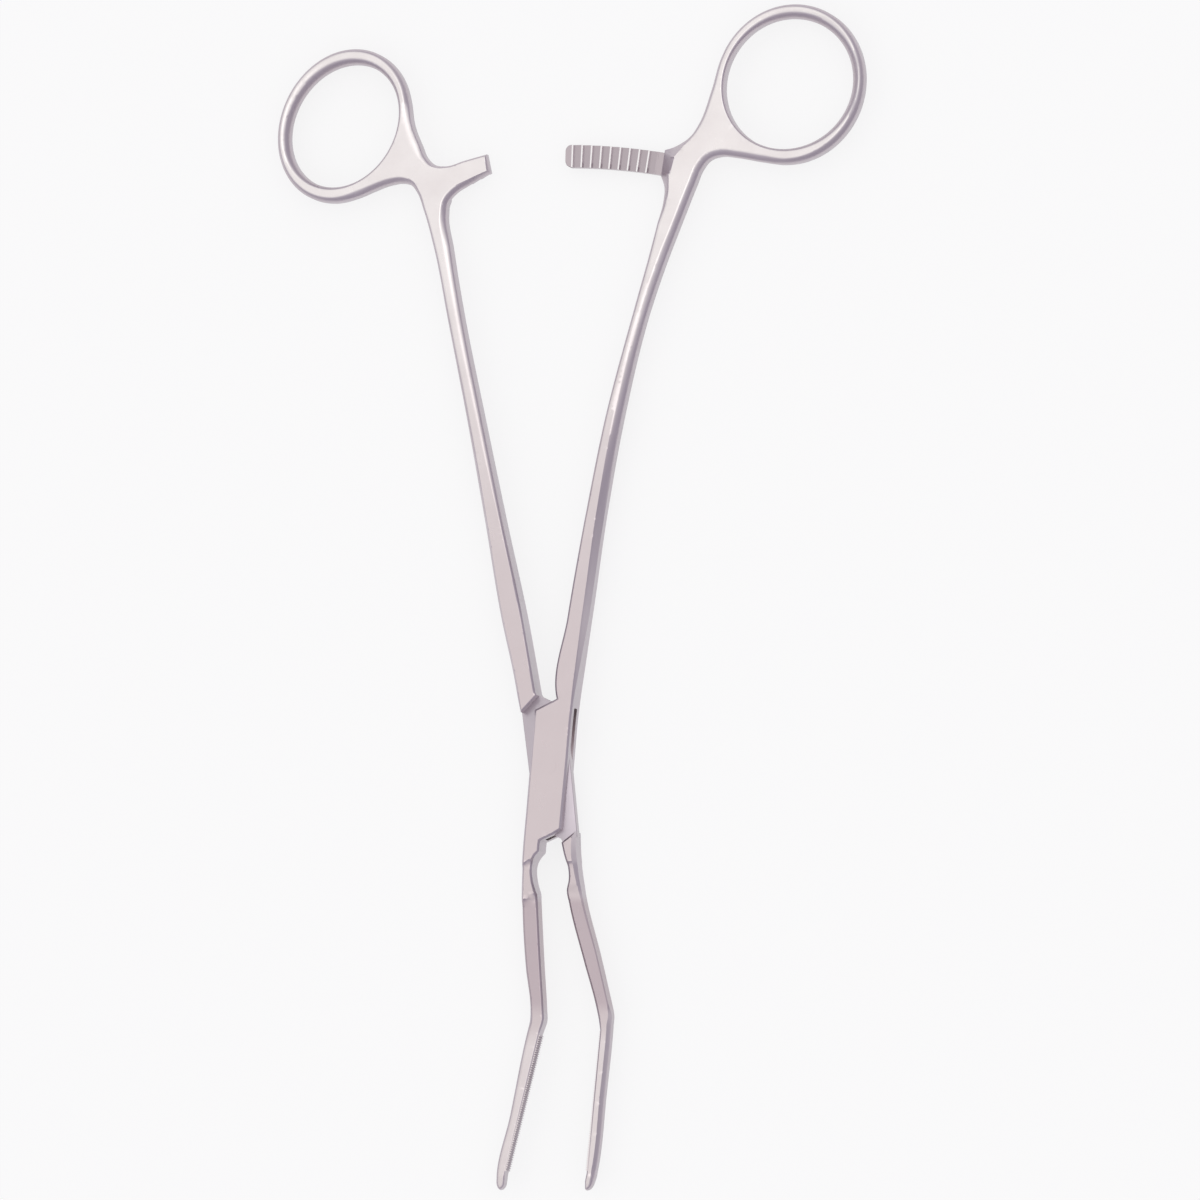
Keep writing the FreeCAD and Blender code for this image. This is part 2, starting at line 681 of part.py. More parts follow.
def make_inner_half():
    """Makes the half with the tongue, the left ring and the short ratchet arm."""
    body = new_body("inner_half")
    foot = new_sketch(body, "shoulder_outline")
    draw_outline(foot, [
        ("-1 * sizes.straight_foot_outer", "sizes.shoulder_top_outer"),
        ("-1 * sizes.shoulder_top_x", "sizes.shoulder_top_inner"),
        ("-1 * sizes.straight_foot_inner", "sizes.straight_foot"),
        ("-1 * sizes.straight_foot_outer", "sizes.straight_foot"),
    ])
    block = pad(body, foot, "shoulder", "sizes.box_thickness")
    half = size("box_thickness") / 2
    bevel(body, block, "shoulder_bevel",
          lambda edge: on_faces(edge, half, size("straight_foot"), size("straight_foot")), "sizes.edge_bevel")
    shank(body, "straight", "sizes.straight_foot", "sizes.straight_foot_inner", "sizes.straight_foot_outer", -1)
    tongue = new_sketch(body, "tongue_outline")
    draw_outline(tongue, [
        ("sizes.tongue_right", "-1 * sizes.shoulder_foot_outer - sizes.tongue_root"),
        ("sizes.tongue_right", "sizes.slot_wall_low"),
        ("-1 * sizes.tongue_end_x", "sizes.slot_wall_high - sizes.slot_end_play"),
        ("-1 * sizes.straight_foot_inner - sizes.tongue_tuck", "sizes.straight_foot - sizes.tongue_tuck"),
        ("-1 * sizes.straight_foot_outer", "sizes.straight_foot - sizes.tongue_tuck"),
        ("-1 * sizes.tongue_left", "-1 * sizes.slot_wall_low"),
        ("sizes.tongue_end_x", "-1 * (sizes.slot_wall_high - sizes.slot_end_play)"),
        ("sizes.foot_inner_x + sizes.tongue_tuck", "-1 * sizes.shoulder_foot_inner - sizes.tongue_root"),
    ])
    pad(body, tongue, "tongue", "sizes.tongue_thickness")
    root = new_sketch(body, "root_outline")
    draw_outline(root, [
        ("sizes.foot_inner_x", "-1 * sizes.shoulder_foot_inner"),
        ("sizes.inner_root_low_x", "-1 * sizes.root_end"),
        ("sizes.right_jaw_outer_a", "-1 * sizes.root_end"),
        ("sizes.foot_outer_x", "-1 * sizes.shoulder_foot_outer"),
    ])
    pad(body, root, "root", "sizes.box_thickness")
    jaw(body, "right_jaw", 1)
    scallop(body, "right_jaw", "sizes.foot_inner_x", "-1 * sizes.shoulder_foot_inner", 1)
    serrations(body, "right_jaw", 1)
    web = new_sketch(body, "web_outline")
    draw_outline(web, [
        ("-1 * sizes.straight_inner_e + sizes.web_overlap", "sizes.station_e - sizes.web_lead"),
        ("-1 * sizes.arm_root_x", "sizes.arm_root_y", "-1 * sizes.arm_root_radius"),
        ("-1 * sizes.arm_under_x", "sizes.arm_under_y"),
        ("-1 * sizes.arm_end_low_x", "sizes.arm_end_low_y"),
        ("-1 * sizes.arm_end_high_x", "sizes.arm_end_high_y"),
        ("-1 * sizes.arm_top_x", "sizes.arm_top_y", "-1 * sizes.arm_top_radius"),
        ("-1 * sizes.straight_neck_x", "sizes.straight_neck_y"),
        ("-1 * sizes.straight_side_x", "sizes.straight_side_y"),
        ("-1 * sizes.left_ring_x", "sizes.left_ring_y"),
        ("-1 * sizes.left_ring_x", "sizes.left_ring_y - sizes.left_ring_short - sizes.ring_bar"),
        ("-1 * sizes.straight_under_x", "sizes.straight_under_y", "-1 * sizes.straight_crook_radius"),
        ("-1 * sizes.straight_crook_x", "sizes.straight_crook_y"),
        ("-1 * sizes.straight_outer_e + sizes.web_tuck", "sizes.station_e - sizes.web_lead"),
    ])
    pad(body, web, "web", "sizes.web_thickness", "sizes.web_draft")
    finger_ring(body, "left", -1)
    recess = new_sketch(body, "recess_outline", "XY_Plane", "-1 * sizes.web_thickness")
    draw_outline(recess, [
        ("-1 * sizes.recess_start", "sizes.recess_low"),
        ("sizes.recess_reach", "sizes.recess_low"),
        ("sizes.recess_reach", "sizes.recess_high"),
        ("-1 * sizes.recess_start", "sizes.recess_high"),
    ])
    cut = body.newObject("PartDesign::Pocket", "half_lap")
    cut.Profile = recess
    cut.Reversed = True
    cut.setExpression("Length", "sizes.web_thickness + sizes.tooth_play")
    doc.recompute()
    tooth_notches(body, "short_teeth", "-1 * sizes.short_tooth_first", "sizes.short_tooth_count", -1, -1)
    pin_bore(body, "sizes.pin_radius + sizes.pin_play")
    place(body, 1)
    return body


def make_pin():
    """Makes the lock pin, flush with both cheeks."""
    pin = doc.addObject("Part::Cylinder", "lock_pin")
    pin.Label = "lock_pin"
    pin.setExpression("Radius", "sizes.pin_radius")
    pin.setExpression("Height", "sizes.box_thickness")
    return pin


def export(pieces):
    """Checks every object and writes each piece's solid to its own file."""
    doc.recompute()
    for item in doc.Objects:
        broken = [state for state in item.State if state in ("Invalid", "Error")]
        if broken:
            raise RuntimeError(f"{item.Name}: {broken} {item.getStatusString()}")
    os.makedirs("parts", exist_ok=True)
    for piece in pieces:
        shape = piece.Shape
        if shape.isNull() or not shape.isValid():
            raise RuntimeError(f"{piece.Label}: no valid shape")
        print(f"{piece.Label}: {len(shape.Solids)} solid, {shape.Volume:.1f} mm3, box {shape.BoundBox}")
        shape.exportStep(f"parts/{piece.Label}.step")


export([make_box_half(), make_inner_half(), make_pin()])
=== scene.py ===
import logging
import math
from dataclasses import dataclass
from enum import Enum
from typing import Any, Sequence, Union

import bmesh
import bpy
import numpy as np
from mathutils import Matrix, Vector
from mathutils.geometry import delaunay_2d_cdt
from mathutils.kdtree import KDTree

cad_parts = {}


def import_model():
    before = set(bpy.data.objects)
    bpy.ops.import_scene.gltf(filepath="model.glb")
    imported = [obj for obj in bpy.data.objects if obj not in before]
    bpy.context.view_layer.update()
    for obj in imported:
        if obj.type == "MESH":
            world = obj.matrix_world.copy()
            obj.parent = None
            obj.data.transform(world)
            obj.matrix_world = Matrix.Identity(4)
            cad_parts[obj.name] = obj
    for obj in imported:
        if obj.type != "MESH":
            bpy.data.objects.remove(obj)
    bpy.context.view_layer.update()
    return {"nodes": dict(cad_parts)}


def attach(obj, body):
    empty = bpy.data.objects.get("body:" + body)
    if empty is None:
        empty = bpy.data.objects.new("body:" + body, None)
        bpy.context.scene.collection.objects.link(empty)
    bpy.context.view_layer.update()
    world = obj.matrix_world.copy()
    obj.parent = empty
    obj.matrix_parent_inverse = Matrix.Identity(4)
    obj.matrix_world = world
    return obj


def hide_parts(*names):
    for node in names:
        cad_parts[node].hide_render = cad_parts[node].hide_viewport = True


LOG = logging.getLogger("bronchus_clamp")
MM = 0.001
NOISE_MEAN = 0.5
# The Mix node's sockets that carry its share, its two colours and its result.
MIX_SHARE, MIX_FIRST, MIX_SECOND, MIX_RESULT = 0, 6, 7, 2
# Millimetres below which a distance counts as nothing, and below which two mesh points become one.
TINY, MERGED = 1e-6, 1e-5

Pair = tuple[float, float]
Triple = tuple[float, float, float]
Array = np.ndarray
Mesh = bpy.types.Mesh
Material = bpy.types.Material

# Run, wall and crown of a ring's edge across from its reference direction, and what is added along it.
BAR_EDGE = (0.75, 0.4, 0.9), (0.4, 0.1, -0.6)
OPENING_EDGE = (1.5, 0.2, 0.5), (-1.0, 0.45, 0.2)


def opaque(colour: Sequence[float]) -> tuple[float, ...]:
    """Adds full alpha to a colour."""
    return (*colour, 1.0)


class Operation(Enum):
    """Node operations that the shader expressions use."""

    ADD = "ADD"
    SUBTRACT = "SUBTRACT"
    MULTIPLY = "MULTIPLY"


class Value:
    """A shader socket that takes part in plain arithmetic."""

    def __init__(self, canvas: "Canvas", socket: bpy.types.NodeSocket) -> None:
        """Wraps one output socket.

        Args:
            canvas: The node tree that the socket belongs to.
            socket: The output socket.
        """
        self.canvas = canvas
        self.socket = socket

    def combined(self, operation: Operation, first: Any, second: Any) -> "Value":
        """Adds one Math node.

        Args:
            operation: What the node does.
            first: Its first value or socket.
            second: Its second value or socket.

        Returns:
            The node's result.
        """
        return self.canvas.node("ShaderNodeMath", {"operation": operation.value}, {0: first, 1: second})

    def __add__(self, other: Any) -> "Value":
        """Adds."""
        return self.combined(Operation.ADD, self, other)

    def __sub__(self, other: Any) -> "Value":
        """Subtracts."""
        return self.combined(Operation.SUBTRACT, self, other)

    def __mul__(self, other: Any) -> "Value":
        """Multiplies."""
        return self.combined(Operation.MULTIPLY, self, other)

    def __rsub__(self, other: Any) -> "Value":
        """Subtracts from a number."""
        return self.combined(Operation.SUBTRACT, other, self)

    __radd__ = __add__
    __rmul__ = __mul__


class Canvas:
    """A node tree that is filled by expressions."""

    def __init__(self, tree: bpy.types.NodeTree) -> None:
        """Empties the tree.

        Args:
            tree: The node tree to fill.
        """
        self.tree = tree
        tree.nodes.clear()

    def node(self, kind: str, settings: dict[str, Any], sockets: dict[Union[int, str], Any],
             output: Union[int, str] = 0) -> Value:
        """Adds a node, sets it up and links it.

        Args:
            kind: The node's type.
            settings: Its properties, which are set first.
            sockets: Values or links of its inputs, by index or name.
            output: The output to hand on.

        Returns:
            That output as a Value, or the first input of a node that ends its tree.
        """
        made = self.tree.nodes.new(kind)
        for name, value in settings.items():
            setattr(made, name, value)
        for key, value in sockets.items():
            if isinstance(value, Value):
                self.tree.links.new(value.socket, made.inputs[key])
            else:
                made.inputs[key].default_value = value
        return Value(self, made.outputs[output] if len(made.outputs) else made.inputs[0])

    def step(self, value: Any, low: float, high: float) -> Value:
        """Rises smoothly from 0 to 1 while the value goes from low to high."""
        return self.node("ShaderNodeMapRange", {"interpolation_type": "SMOOTHSTEP"},
                         {"Value": value, "From Min": low, "From Max": high})

    def mix(self, share: Any, first: Any, second: Any) -> Value:
        """Mixes two colours.

        Args:
            share: How much of the second one shows.
            first: A colour value or socket.
            second: Another one.

        Returns:
            The mixed colour.
        """
        return self.node("ShaderNodeMix", {"data_type": "RGBA"},
                         {MIX_SHARE: share, MIX_FIRST: first, MIX_SECOND: second}, MIX_RESULT)


@dataclass(frozen=True)
class SatinSteel:
    """Satin-polished stainless steel, finely brushed, whose tones paint light and shade: darker slopes,
    walls and neck, a lighter handle.

    Each pair says where one tone passes into another. Those of flat_band and slope_band are how far the
    surface looks up or down, from 0 to 1, and the others are heights along Y, in metres.
    """

    name: str
    face: Triple
    # handle is a lighter tone, painted light on the handle above the lock and, by blade_light_share, on the
    # blades.
    handle: Triple
    # The tones of slopes and walls are painted shade, darker where the surface looks less far up.
    slope: Triple
    wall: Triple
    roughness: float = 0.3
    grain: float = 0.1
    wall_dulling: float = 0.08
    flat_band: Pair = (0.74, 0.94)
    slope_band: Pair = (0.12, 0.4)
    handle_band: Pair = (0.02, 0.12)
    blade_band: Pair = (-0.056, -0.0505)
    blade_light_share: float = 0.45
    # neck is a darker tone, painted shade on the jaw necks.
    neck: Triple = (0.5, 0.42, 0.45)
    neck_shade_share: float = 0.85
    neck_top: Pair = (-0.0275, -0.0255)
    neck_foot: Pair = (-0.0505, -0.0465)
    worn_tone: float = 0.86
    worn_share: float = 0.1
    worn_spread: float = 0.5
    brush_scale: Triple = (2600.0, 180.0, 2600.0)
    cloud_scale: float = 160.0
    noise_detail: float = 3.0
    bump_strength: float = 0.12
    bump_distance: float = 0.00002

    def noise(self, canvas: Canvas, place: Value, scale: float) -> Value:
        """Adds a noise texture."""
        return canvas.node("ShaderNodeTexNoise", {},
                           {"Vector": place, "Scale": scale, "Detail": self.noise_detail}, "Fac")

    def build(self) -> Material:
        """Makes the material.

        Returns:
            The finished material.
        """
        material = bpy.data.materials.new(self.name)
        material.use_nodes = True
        canvas = Canvas(material.node_tree)
        place = canvas.node("ShaderNodeTexCoord", {}, {}, "Object")
        along = canvas.node("ShaderNodeMapping", {}, {"Vector": place, "Scale": self.brush_scale})
        grain = self.noise(canvas, along, 1.0)
        cloud = self.noise(canvas, place, self.cloud_scale)
        # Painted shade: by how far the surface looks up, it passes from the face tone to the darker tones of
        # slopes and walls.
        normal = canvas.node("ShaderNodeNewGeometry", {}, {}, "Normal")
        upright = canvas.node("ShaderNodeSeparateXYZ", {}, {"Vector": normal}, "Z")
        level = canvas.node("ShaderNodeMath", {"operation": "ABSOLUTE"}, {0: upright})
        flat = canvas.step(level, *self.flat_band)
        slope_shade_mask = canvas.step(level, *self.slope_band)
        height = canvas.node("ShaderNodeSeparateXYZ", {}, {"Vector": place}, "Y")
        # Painted light: the handle and, in part, the blades get the lighter handle tone.
        handle = canvas.step(height, *self.handle_band)
        blade = 1.0 - canvas.step(height, *self.blade_band)
        face = canvas.mix(handle + blade * self.blade_light_share, opaque(self.face), opaque(self.handle))
        edge = canvas.mix(slope_shade_mask, opaque(self.wall), opaque(self.slope))
        tone = canvas.mix(flat, edge, face)
        # Painted shade: the jaw necks get the darker neck tone.
        neck = (1.0 - canvas.step(height, *self.neck_top)) * canvas.step(height, *self.neck_foot)
        neck_shaded = canvas.mix(neck * self.neck_shade_share, tone, opaque(self.neck))
        # Random darker patches of wear go over the painted light and shade.
        patches = (cloud - NOISE_MEAN) * self.worn_spread + self.worn_share
        painted_light_and_wear = canvas.mix(patches, neck_shaded, opaque([self.worn_tone * part for part in self.face]))
        rough = (self.roughness + (grain - NOISE_MEAN) * self.grain + (cloud - NOISE_MEAN) * self.grain
                 + (1.0 - flat) * self.wall_dulling)
        bump = canvas.node("ShaderNodeBump", {}, {
            "Strength": self.bump_strength,
            "Distance": self.bump_distance,
            "Height": grain,
        }, "Normal")
        surface = canvas.node("ShaderNodeBsdfPrincipled", {}, {
            "Base Color": painted_light_and_wear,
            "Metallic": 1.0,
            "Roughness": rough,
            "Normal": bump,
        })
        canvas.node("ShaderNodeOutputMaterial", {}, {"Surface": surface})
        return material


@dataclass(frozen=True)
class Pattern:
    """A row of alike solids, each turned about the pivot and moved on from the last by Geometry Nodes."""

    count: int
    turn: float = 0.0
    step: Triple = (0.0, 0.0, 0.0)

    def tree(self) -> bpy.types.NodeTree:
        """Builds the node group that lays the copies out.

        Returns:
            The group, with its named inputs.
        """
        tree = bpy.data.node_groups.new("pattern", "GeometryNodeTree")
        sockets = {"Geometry": "Geometry", "Count": "Int", "Turn": "Float", "Step": "Vector",
                   "Finish": "Material"}
        for name, kind in sockets.items():
            tree.interface.new_socket(name, in_out="INPUT", socket_type=f"NodeSocket{kind}")
        tree.interface.new_socket("Geometry", in_out="OUTPUT", socket_type="NodeSocketGeometry")
        canvas = Canvas(tree)
        inputs = tree.nodes.new("NodeGroupInput")
        given = {name: Value(canvas, inputs.outputs[name]) for name in sockets}
        line = canvas.node("GeometryNodeMeshLine", {}, {"Count": given["Count"], "Offset": given["Step"]})
        index = canvas.node("GeometryNodeInputIndex", {}, {})
        spin = canvas.node("ShaderNodeCombineXYZ", {}, {"Z": given["Turn"] * index})
        laid = canvas.node("GeometryNodeInstanceOnPoints", {}, {
            "Points": line, "Instance": given["Geometry"], "Rotation": spin})
        real = canvas.node("GeometryNodeRealizeInstances", {}, {"Geometry": laid})
        done = canvas.node("GeometryNodeSetMaterial", {}, {"Geometry": real, "Material": given["Finish"]})
        canvas.node("NodeGroupOutput", {}, {"Geometry": done})
        return tree

    def build(self, unit: Mesh, material: Material) -> Mesh:
        """Lays the copies out.

        Args:
            unit: The solid to repeat.
            material: Its finish.

        Returns:
            All copies as one mesh.
        """
        carrier = placed("pattern", unit)
        modifier = carrier.modifiers.new("pattern", "NODES")
        modifier.node_group = self.tree()
        values = {"Count": self.count, "Turn": self.turn, "Step": self.step, "Finish": material}
        for item in modifier.node_group.interface.items_tree:
            if item.in_out == "INPUT" and item.name in values:
                modifier[item.identifier] = values[item.name]
        return bake(carrier)


def placed(name: str, data: bpy.types.ID) -> bpy.types.Object:
    """Makes an object and puts it into the scene.

    Args:
        name: Its name.
        data: Its mesh or camera.

    Returns:
        The object.
    """
    made = bpy.data.objects.new(name, data)
    bpy.context.scene.collection.objects.link(made)
    return made


def meshed(name: str, work: bmesh.types.BMesh) -> Mesh:
    """Turns a bmesh into a mesh and frees it.

    Args:
        name: The mesh's name.
        work: The bmesh.

    Returns:
        The mesh.
    """
    mesh = bpy.data.meshes.new(name)
    work.to_mesh(mesh)
    work.free()
    return mesh


def bake(carrier: bpy.types.Object) -> Mesh:
    """Applies an object's modifiers and takes the object away.

    Args:
        carrier: The object with its modifiers.

    Returns:
        The plain mesh.
    """
    carrier.update_tag()
    bpy.context.view_layer.update()
    depsgraph = bpy.context.evaluated_depsgraph_get()
    mesh = bpy.data.meshes.new_from_object(carrier.evaluated_get(depsgraph))
    carrier.modifiers.clear()
    bpy.data.objects.remove(carrier)
    return mesh


def prism(name: str, points: list[Pair], low: float, high: float, bevel: float = 0.0) -> Mesh:
    """Makes a closed upright prism.

    Args:
        name: The mesh's name.
        points: Its outline in order, counter-clockwise.
        low: The height of its underside.
        high: The height of its upper face.
        bevel: How far its edges are rounded.

    Returns:
        The mesh.
    """
    work = bmesh.new()
    bottom = [work.verts.new((x, y, low)) for x, y in points]
    top = [work.verts.new((x, y, high)) for x, y in points]
    work.faces.new(top)
    work.faces.new(bottom[::-1])
    for index in range(len(points)):
        after = (index + 1) % len(points)
        work.faces.new((bottom[index], bottom[after], top[after], top[index]))
    if bevel:
        rims = [edge for edge in work.edges if abs(edge.verts[0].co.z - edge.verts[1].co.z) < TINY]
        bmesh.ops.bevel(work, geom=rims, offset=bevel, segments=3, profile=0.5, affect="EDGES")
    bmesh.ops.recalc_face_normals(work, faces=work.faces)
    return meshed(name, work)


def carve(mesh: Mesh, cutters: list[Mesh]) -> Mesh:
    """Cuts solids out of a mesh.

    Args:
        mesh: The mesh to cut.
        cutters: What is taken out of it.

    Returns:
        What is left.
    """
    carrier = placed("carved", mesh)
    tools = []
    for cutter in cutters:
        tool = placed("cutter", cutter)
        modifier = carrier.modifiers.new("cut", "BOOLEAN")
        modifier.solver = "EXACT"
        modifier.operation = "DIFFERENCE"
        modifier.object = tool
        tools.append(tool)
    result = bake(carrier)
    for tool in tools:
        bpy.data.objects.remove(tool)
    return result


def joined(name: str, meshes: list[Mesh]) -> Mesh:
    """Puts several closed meshes into one.

    Args:
        name: The new mesh's name.
        meshes: The meshes.

    Returns:
        The new mesh.
    """
    work = bmesh.new()
    for mesh in meshes:
        work.from_mesh(mesh)
    return meshed(name, work)


def disc(radius: float, steps: int = 48) -> list[Pair]:
    """Lists the points of a circle about the pivot."""
    angles = [math.tau * index / steps for index in range(steps)]
    return [(radius * math.cos(angle), radius * math.sin(angle)) for angle in angles]


class Corner(Enum):
    """How an outline passes through one of its points."""

    SMOOTH = "smooth"
    SHARP = "sharp"


@dataclass(frozen=True)
class Stop:
    """A point of a forging's outline, in millimetres, with the edge that it carries.

    The run is the width over which the face falls off towards the outline, and the wall is the share of
    the thickness that is left there. The crown says how round the fall is, from 0, a straight slope.
    """

    x: float
    y: float
    run: float
    wall: float
    crown: float = 0.0
    corner: Corner = Corner.SMOOTH


@dataclass(frozen=True)
class Level:
    """The full thickness of a forging at one height along it, in millimetres.

    The slant says how much further up it lies for each millimetre to the right.
    """

    y: float
    thickness: float
    slant: float = 0.0


def alike(edge: tuple[Any, ...], *places: Pair) -> list[Stop]:
    """Lists stops that carry the same edge: run, wall and, if given, crown and corner."""
    return [Stop(*place, *edge) for place in places]


@dataclass
class Outline:
    """A closed outline that runs smoothly through its stops, or sharply where they say so."""

    stops: list[Stop]
    spacing: float = 0.45

    def sampled(self) -> Array:
        """Divides the outline into short steps.

        Returns:
            Rows of x, y, run, wall share and crown.
        """
        rows = np.array([(s.x, s.y, s.run, s.wall, s.crown) for s in self.stops])
        count = len(rows)
        ways = np.roll(rows[:, :2], -1, axis=0) - rows[:, :2]
        lengths = np.linalg.norm(ways, axis=1)
        units = ways / lengths[:, None]
        before, after = np.roll(lengths, 1), lengths
        blend = np.roll(units, 1, axis=0) * after[:, None] + units * before[:, None]
        tangents = blend / np.linalg.norm(blend, axis=1)[:, None]
        points = []
        for index in range(count):
            following = (index + 1) % count
            length = lengths[index]
            out = units[index] if self.stops[index].corner is Corner.SHARP else tangents[index]
            into = units[index] if self.stops[following].corner is Corner.SHARP else tangents[following]
            steps = max(1, int(round(length / self.spacing)))
            t = (np.arange(steps) / steps)[:, None]
            place = ((2 * t**3 - 3 * t**2 + 1) * rows[index, :2] + (t**3 - 2 * t**2 + t) * out * length
                     + (3 * t**2 - 2 * t**3) * rows[following, :2] + (t**3 - t**2) * into * length)
            ease = rows[index, 2:] * (1 - t) + rows[following, 2:] * t
            points.append(np.hstack([place, ease]))
        return np.vstack(points)


@dataclass
class Forging:
    """A drop forging: a flat blank whose faces fall off towards its outline, alike above and below.

    The lines are shares of the run at which the mesh follows the outline, kept where they lie at least
    line_room of their distance from every outline. Softness is how far two falls blend where they meet.
    """

    name: str
    outlines: list[Outline]
    levels: list[Level]
    lines: tuple[float, ...] = (0.07, 0.2, 0.4, 0.62, 0.82, 1.0, 1.12)
    line_room: float = 0.93
    softness: float = 0.12
    mesh_step: float = 1.2
    level_step: float = 0.5
    rim_room: float = 0.35
    chunk: int = 512

    def nearest(self, points: Array, loop: Array) -> Array:
        """Finds where an outline comes nearest to each point.

        Args:
            points: Places in the blank, x and y.
            loop: The sampled outline.

        Returns:
            Rows of the distance and the run, wall and crown there.
        """
        near = np.empty((len(points), 4))
        starts, ends = loop, np.roll(loop, -1, axis=0)
        way = ends[:, :2] - starts[:, :2]
        squared = np.maximum((way**2).sum(axis=1), TINY**2)
        for first in range(0, len(points), self.chunk):
            chunk = points[first:first + self.chunk]
            gap = chunk[:, None, :] - starts[None, :, :2]
            along = np.clip((gap * way).sum(axis=2) / squared, 0, 1)
            off = gap - along[:, :, None] * way
            distance = np.sqrt((off**2).sum(axis=2))
            best = distance.argmin(axis=1)
            row = np.arange(len(chunk))
            share = along[row, best][:, None]
            edge = starts[best, 2:] * (1 - share) + ends[best, 2:] * share
            near[first:first + self.chunk] = np.hstack([distance[row, best][:, None], edge])
        return near

    def height(self, points: Array, loops: list[Array]) -> Array:
        """Works out how far the face stands from the parting plane.

        Args:
            points: Places in the blank, x and y.
            loops: The sampled outlines.

        Returns:
            The height at each place.
        """
        half = np.full(len(points), self.levels[0].thickness / 2)
        for low, high in zip(self.levels, self.levels[1:]):
            start = low.y + low.slant * points[:, 0]
            end = high.y + high.slant * points[:, 0]
            share = np.clip((points[:, 1] - start) / np.maximum(end - start, TINY), 0, 1)
            half += share * (high.thickness - low.thickness) / 2
        face = half
        for loop in loops:
            distance, run, wall, crown = self.nearest(points, loop).T
            t = np.clip(distance / run, 0, 1)
            fall = t * (1 - crown) + np.sqrt(np.maximum(1 - (1 - t)**2, 0)) * crown
            foot = half * wall
            raised = np.where(distance >= run, half, foot + (half - foot) * fall)
            if loop is loops[0]:
                face = raised
                continue
            blend = np.clip(0.5 + 0.5 * (raised - face) / self.softness, 0, 1)
            soft = raised * (1 - blend) + face * blend - self.softness * blend * (1 - blend)
            face = np.where(distance < TINY, np.minimum(face, raised), soft)
        return face

    def build(self) -> Mesh:
        """Meshes the blank and lifts its faces.

        Returns:
            The closed mesh, in millimetres, in the half's own frame.
        """
        loops = [outline.sampled() for outline in self.outlines]
        points: list[Array] = []
        edges: list[tuple[int, int]] = []
        total = 0
        for loop in loops:
            way = np.roll(loop[:, :2], -1, axis=0) - np.roll(loop[:, :2], 1, axis=0)
            inward = np.stack([-way[:, 1], way[:, 0]], axis=1) / np.linalg.norm(way, axis=1)[:, None]
            for share in (0.0, *self.lines):
                ring = loop[:, :2] + inward * (loop[:, 2] * share)[:, None]
                if share:
                    ring = ring[self.clearance(ring, loops) > loop[:, 2] * share * self.line_room]
                else:
                    edges += [(total + i, total + (i + 1) % len(ring)) for i in range(len(ring))]
                points.append(ring)
                total += len(ring)
        points.append(self.fill(loops))
        flat = np.vstack(points)
        found = delaunay_2d_cdt([Vector(p) for p in flat.tolist()], edges, [], 0, MERGED)
        verts = np.array([tuple(v) for v in found[0]])
        faces = np.array([tuple(f) for f in found[2]])
        centres = verts[faces].mean(axis=1)
        faces = faces[self.inside(centres, loops)]
        return self.shell(verts, faces, self.height(verts, loops))

    def clearance(self, points: Array, loops: list[Array]) -> Array:
        """Measures how far each point lies from the nearest outline point.

        Args:
            points: Places in the blank, x and y.
            loops: The sampled outlines.

        Returns:
            The distance of each place.
        """
        tree = KDTree(sum(len(loop) for loop in loops))
        count = 0
        for loop in loops:
            for x, y in loop[:, :2]:
                tree.insert((x, y, 0.0), count)
                count += 1
        tree.balance()
        return np.array([tree.find((x, y, 0.0))[2] for x, y in points])

    def fill(self, loops: list[Array]) -> Array:
        """Spreads points over the flat of the blank and along its levels.

        Args:
            loops: The sampled outlines.

        Returns:
            The points, x and y.
        """
        low, high = loops[0][:, :2].min(axis=0), loops[0][:, :2].max(axis=0)
        xs, ys = np.arange(low[0], high[0], self.mesh_step), np.arange(low[1], high[1], self.mesh_step)
        grid = np.stack(np.meshgrid(xs, ys), axis=-1).reshape(-1, 2)
        grid = grid[self.inside(grid, loops)]
        across = np.arange(low[0], high[0], self.level_step)
        rows = np.array([(x, level.y) for level in self.levels for x in across])
        rows = rows[self.inside(rows, loops)]
        both = np.vstack([grid, rows])
        return both[self.clearance(both, loops) > self.rim_room]

    @staticmethod
    def inside(points: Array, loops: list[Array]) -> Array:
        """Tells which points lie within the blank and outside its openings.

        Args:
            points: Places, x and y.
            loops: The sampled outlines.

        Returns:
            Whether each point lies within.
        """
        within = np.zeros(len(points), dtype=bool)
        for loop in loops:
            x1, y1 = loop[:, 0], loop[:, 1]
            x2, y2 = np.roll(x1, -1), np.roll(y1, -1)
            for start, end, left, right in zip(y1, y2, x1, x2):
                if start == end:
                    continue
                between = (points[:, 1] >= min(start, end)) & (points[:, 1] < max(start, end))
                cross = left + (points[:, 1] - start) * (right - left) / (end - start)
                within ^= between & (points[:, 0] < cross)
        return within

    def shell(self, verts: Array, faces: Array, heights: Array) -> Mesh:
        """Closes the upper and lower faces with a wall along the outlines.

        Args:
            verts: The mesh's places, x and y.
            faces: Its triangles.
            heights: How far each place is lifted.

        Returns:
            The closed mesh.
        """
        count = len(verts)
        upper = np.hstack([verts, heights[:, None]])
        lower = np.hstack([verts, -heights[:, None]])
        directed = {(a, b) for f in faces.tolist() for a, b in ((f[0], f[1]), (f[1], f[2]), (f[2], f[0]))}
        rim = [(a, b) for a, b in directed if (b, a) not in directed]
        wall = [(b, a, a + count, b + count) for a, b in rim]
        top = [tuple(f) for f in faces.tolist()]
        bottom = [(f[2] + count, f[1] + count, f[0] + count) for f in faces.tolist()]
        mesh = bpy.data.meshes.new(self.name)
        mesh.from_pydata(np.vstack([upper, lower]).tolist(), [], top + bottom + wall)
        work = bmesh.new()
        work.from_mesh(mesh)
        loose = [v for v in work.verts if not v.link_faces]
        bmesh.ops.delete(work, geom=loose, context="VERTS")
        bmesh.ops.recalc_face_normals(work, faces=work.faces)
        work.to_mesh(mesh)
        work.free()
        return mesh


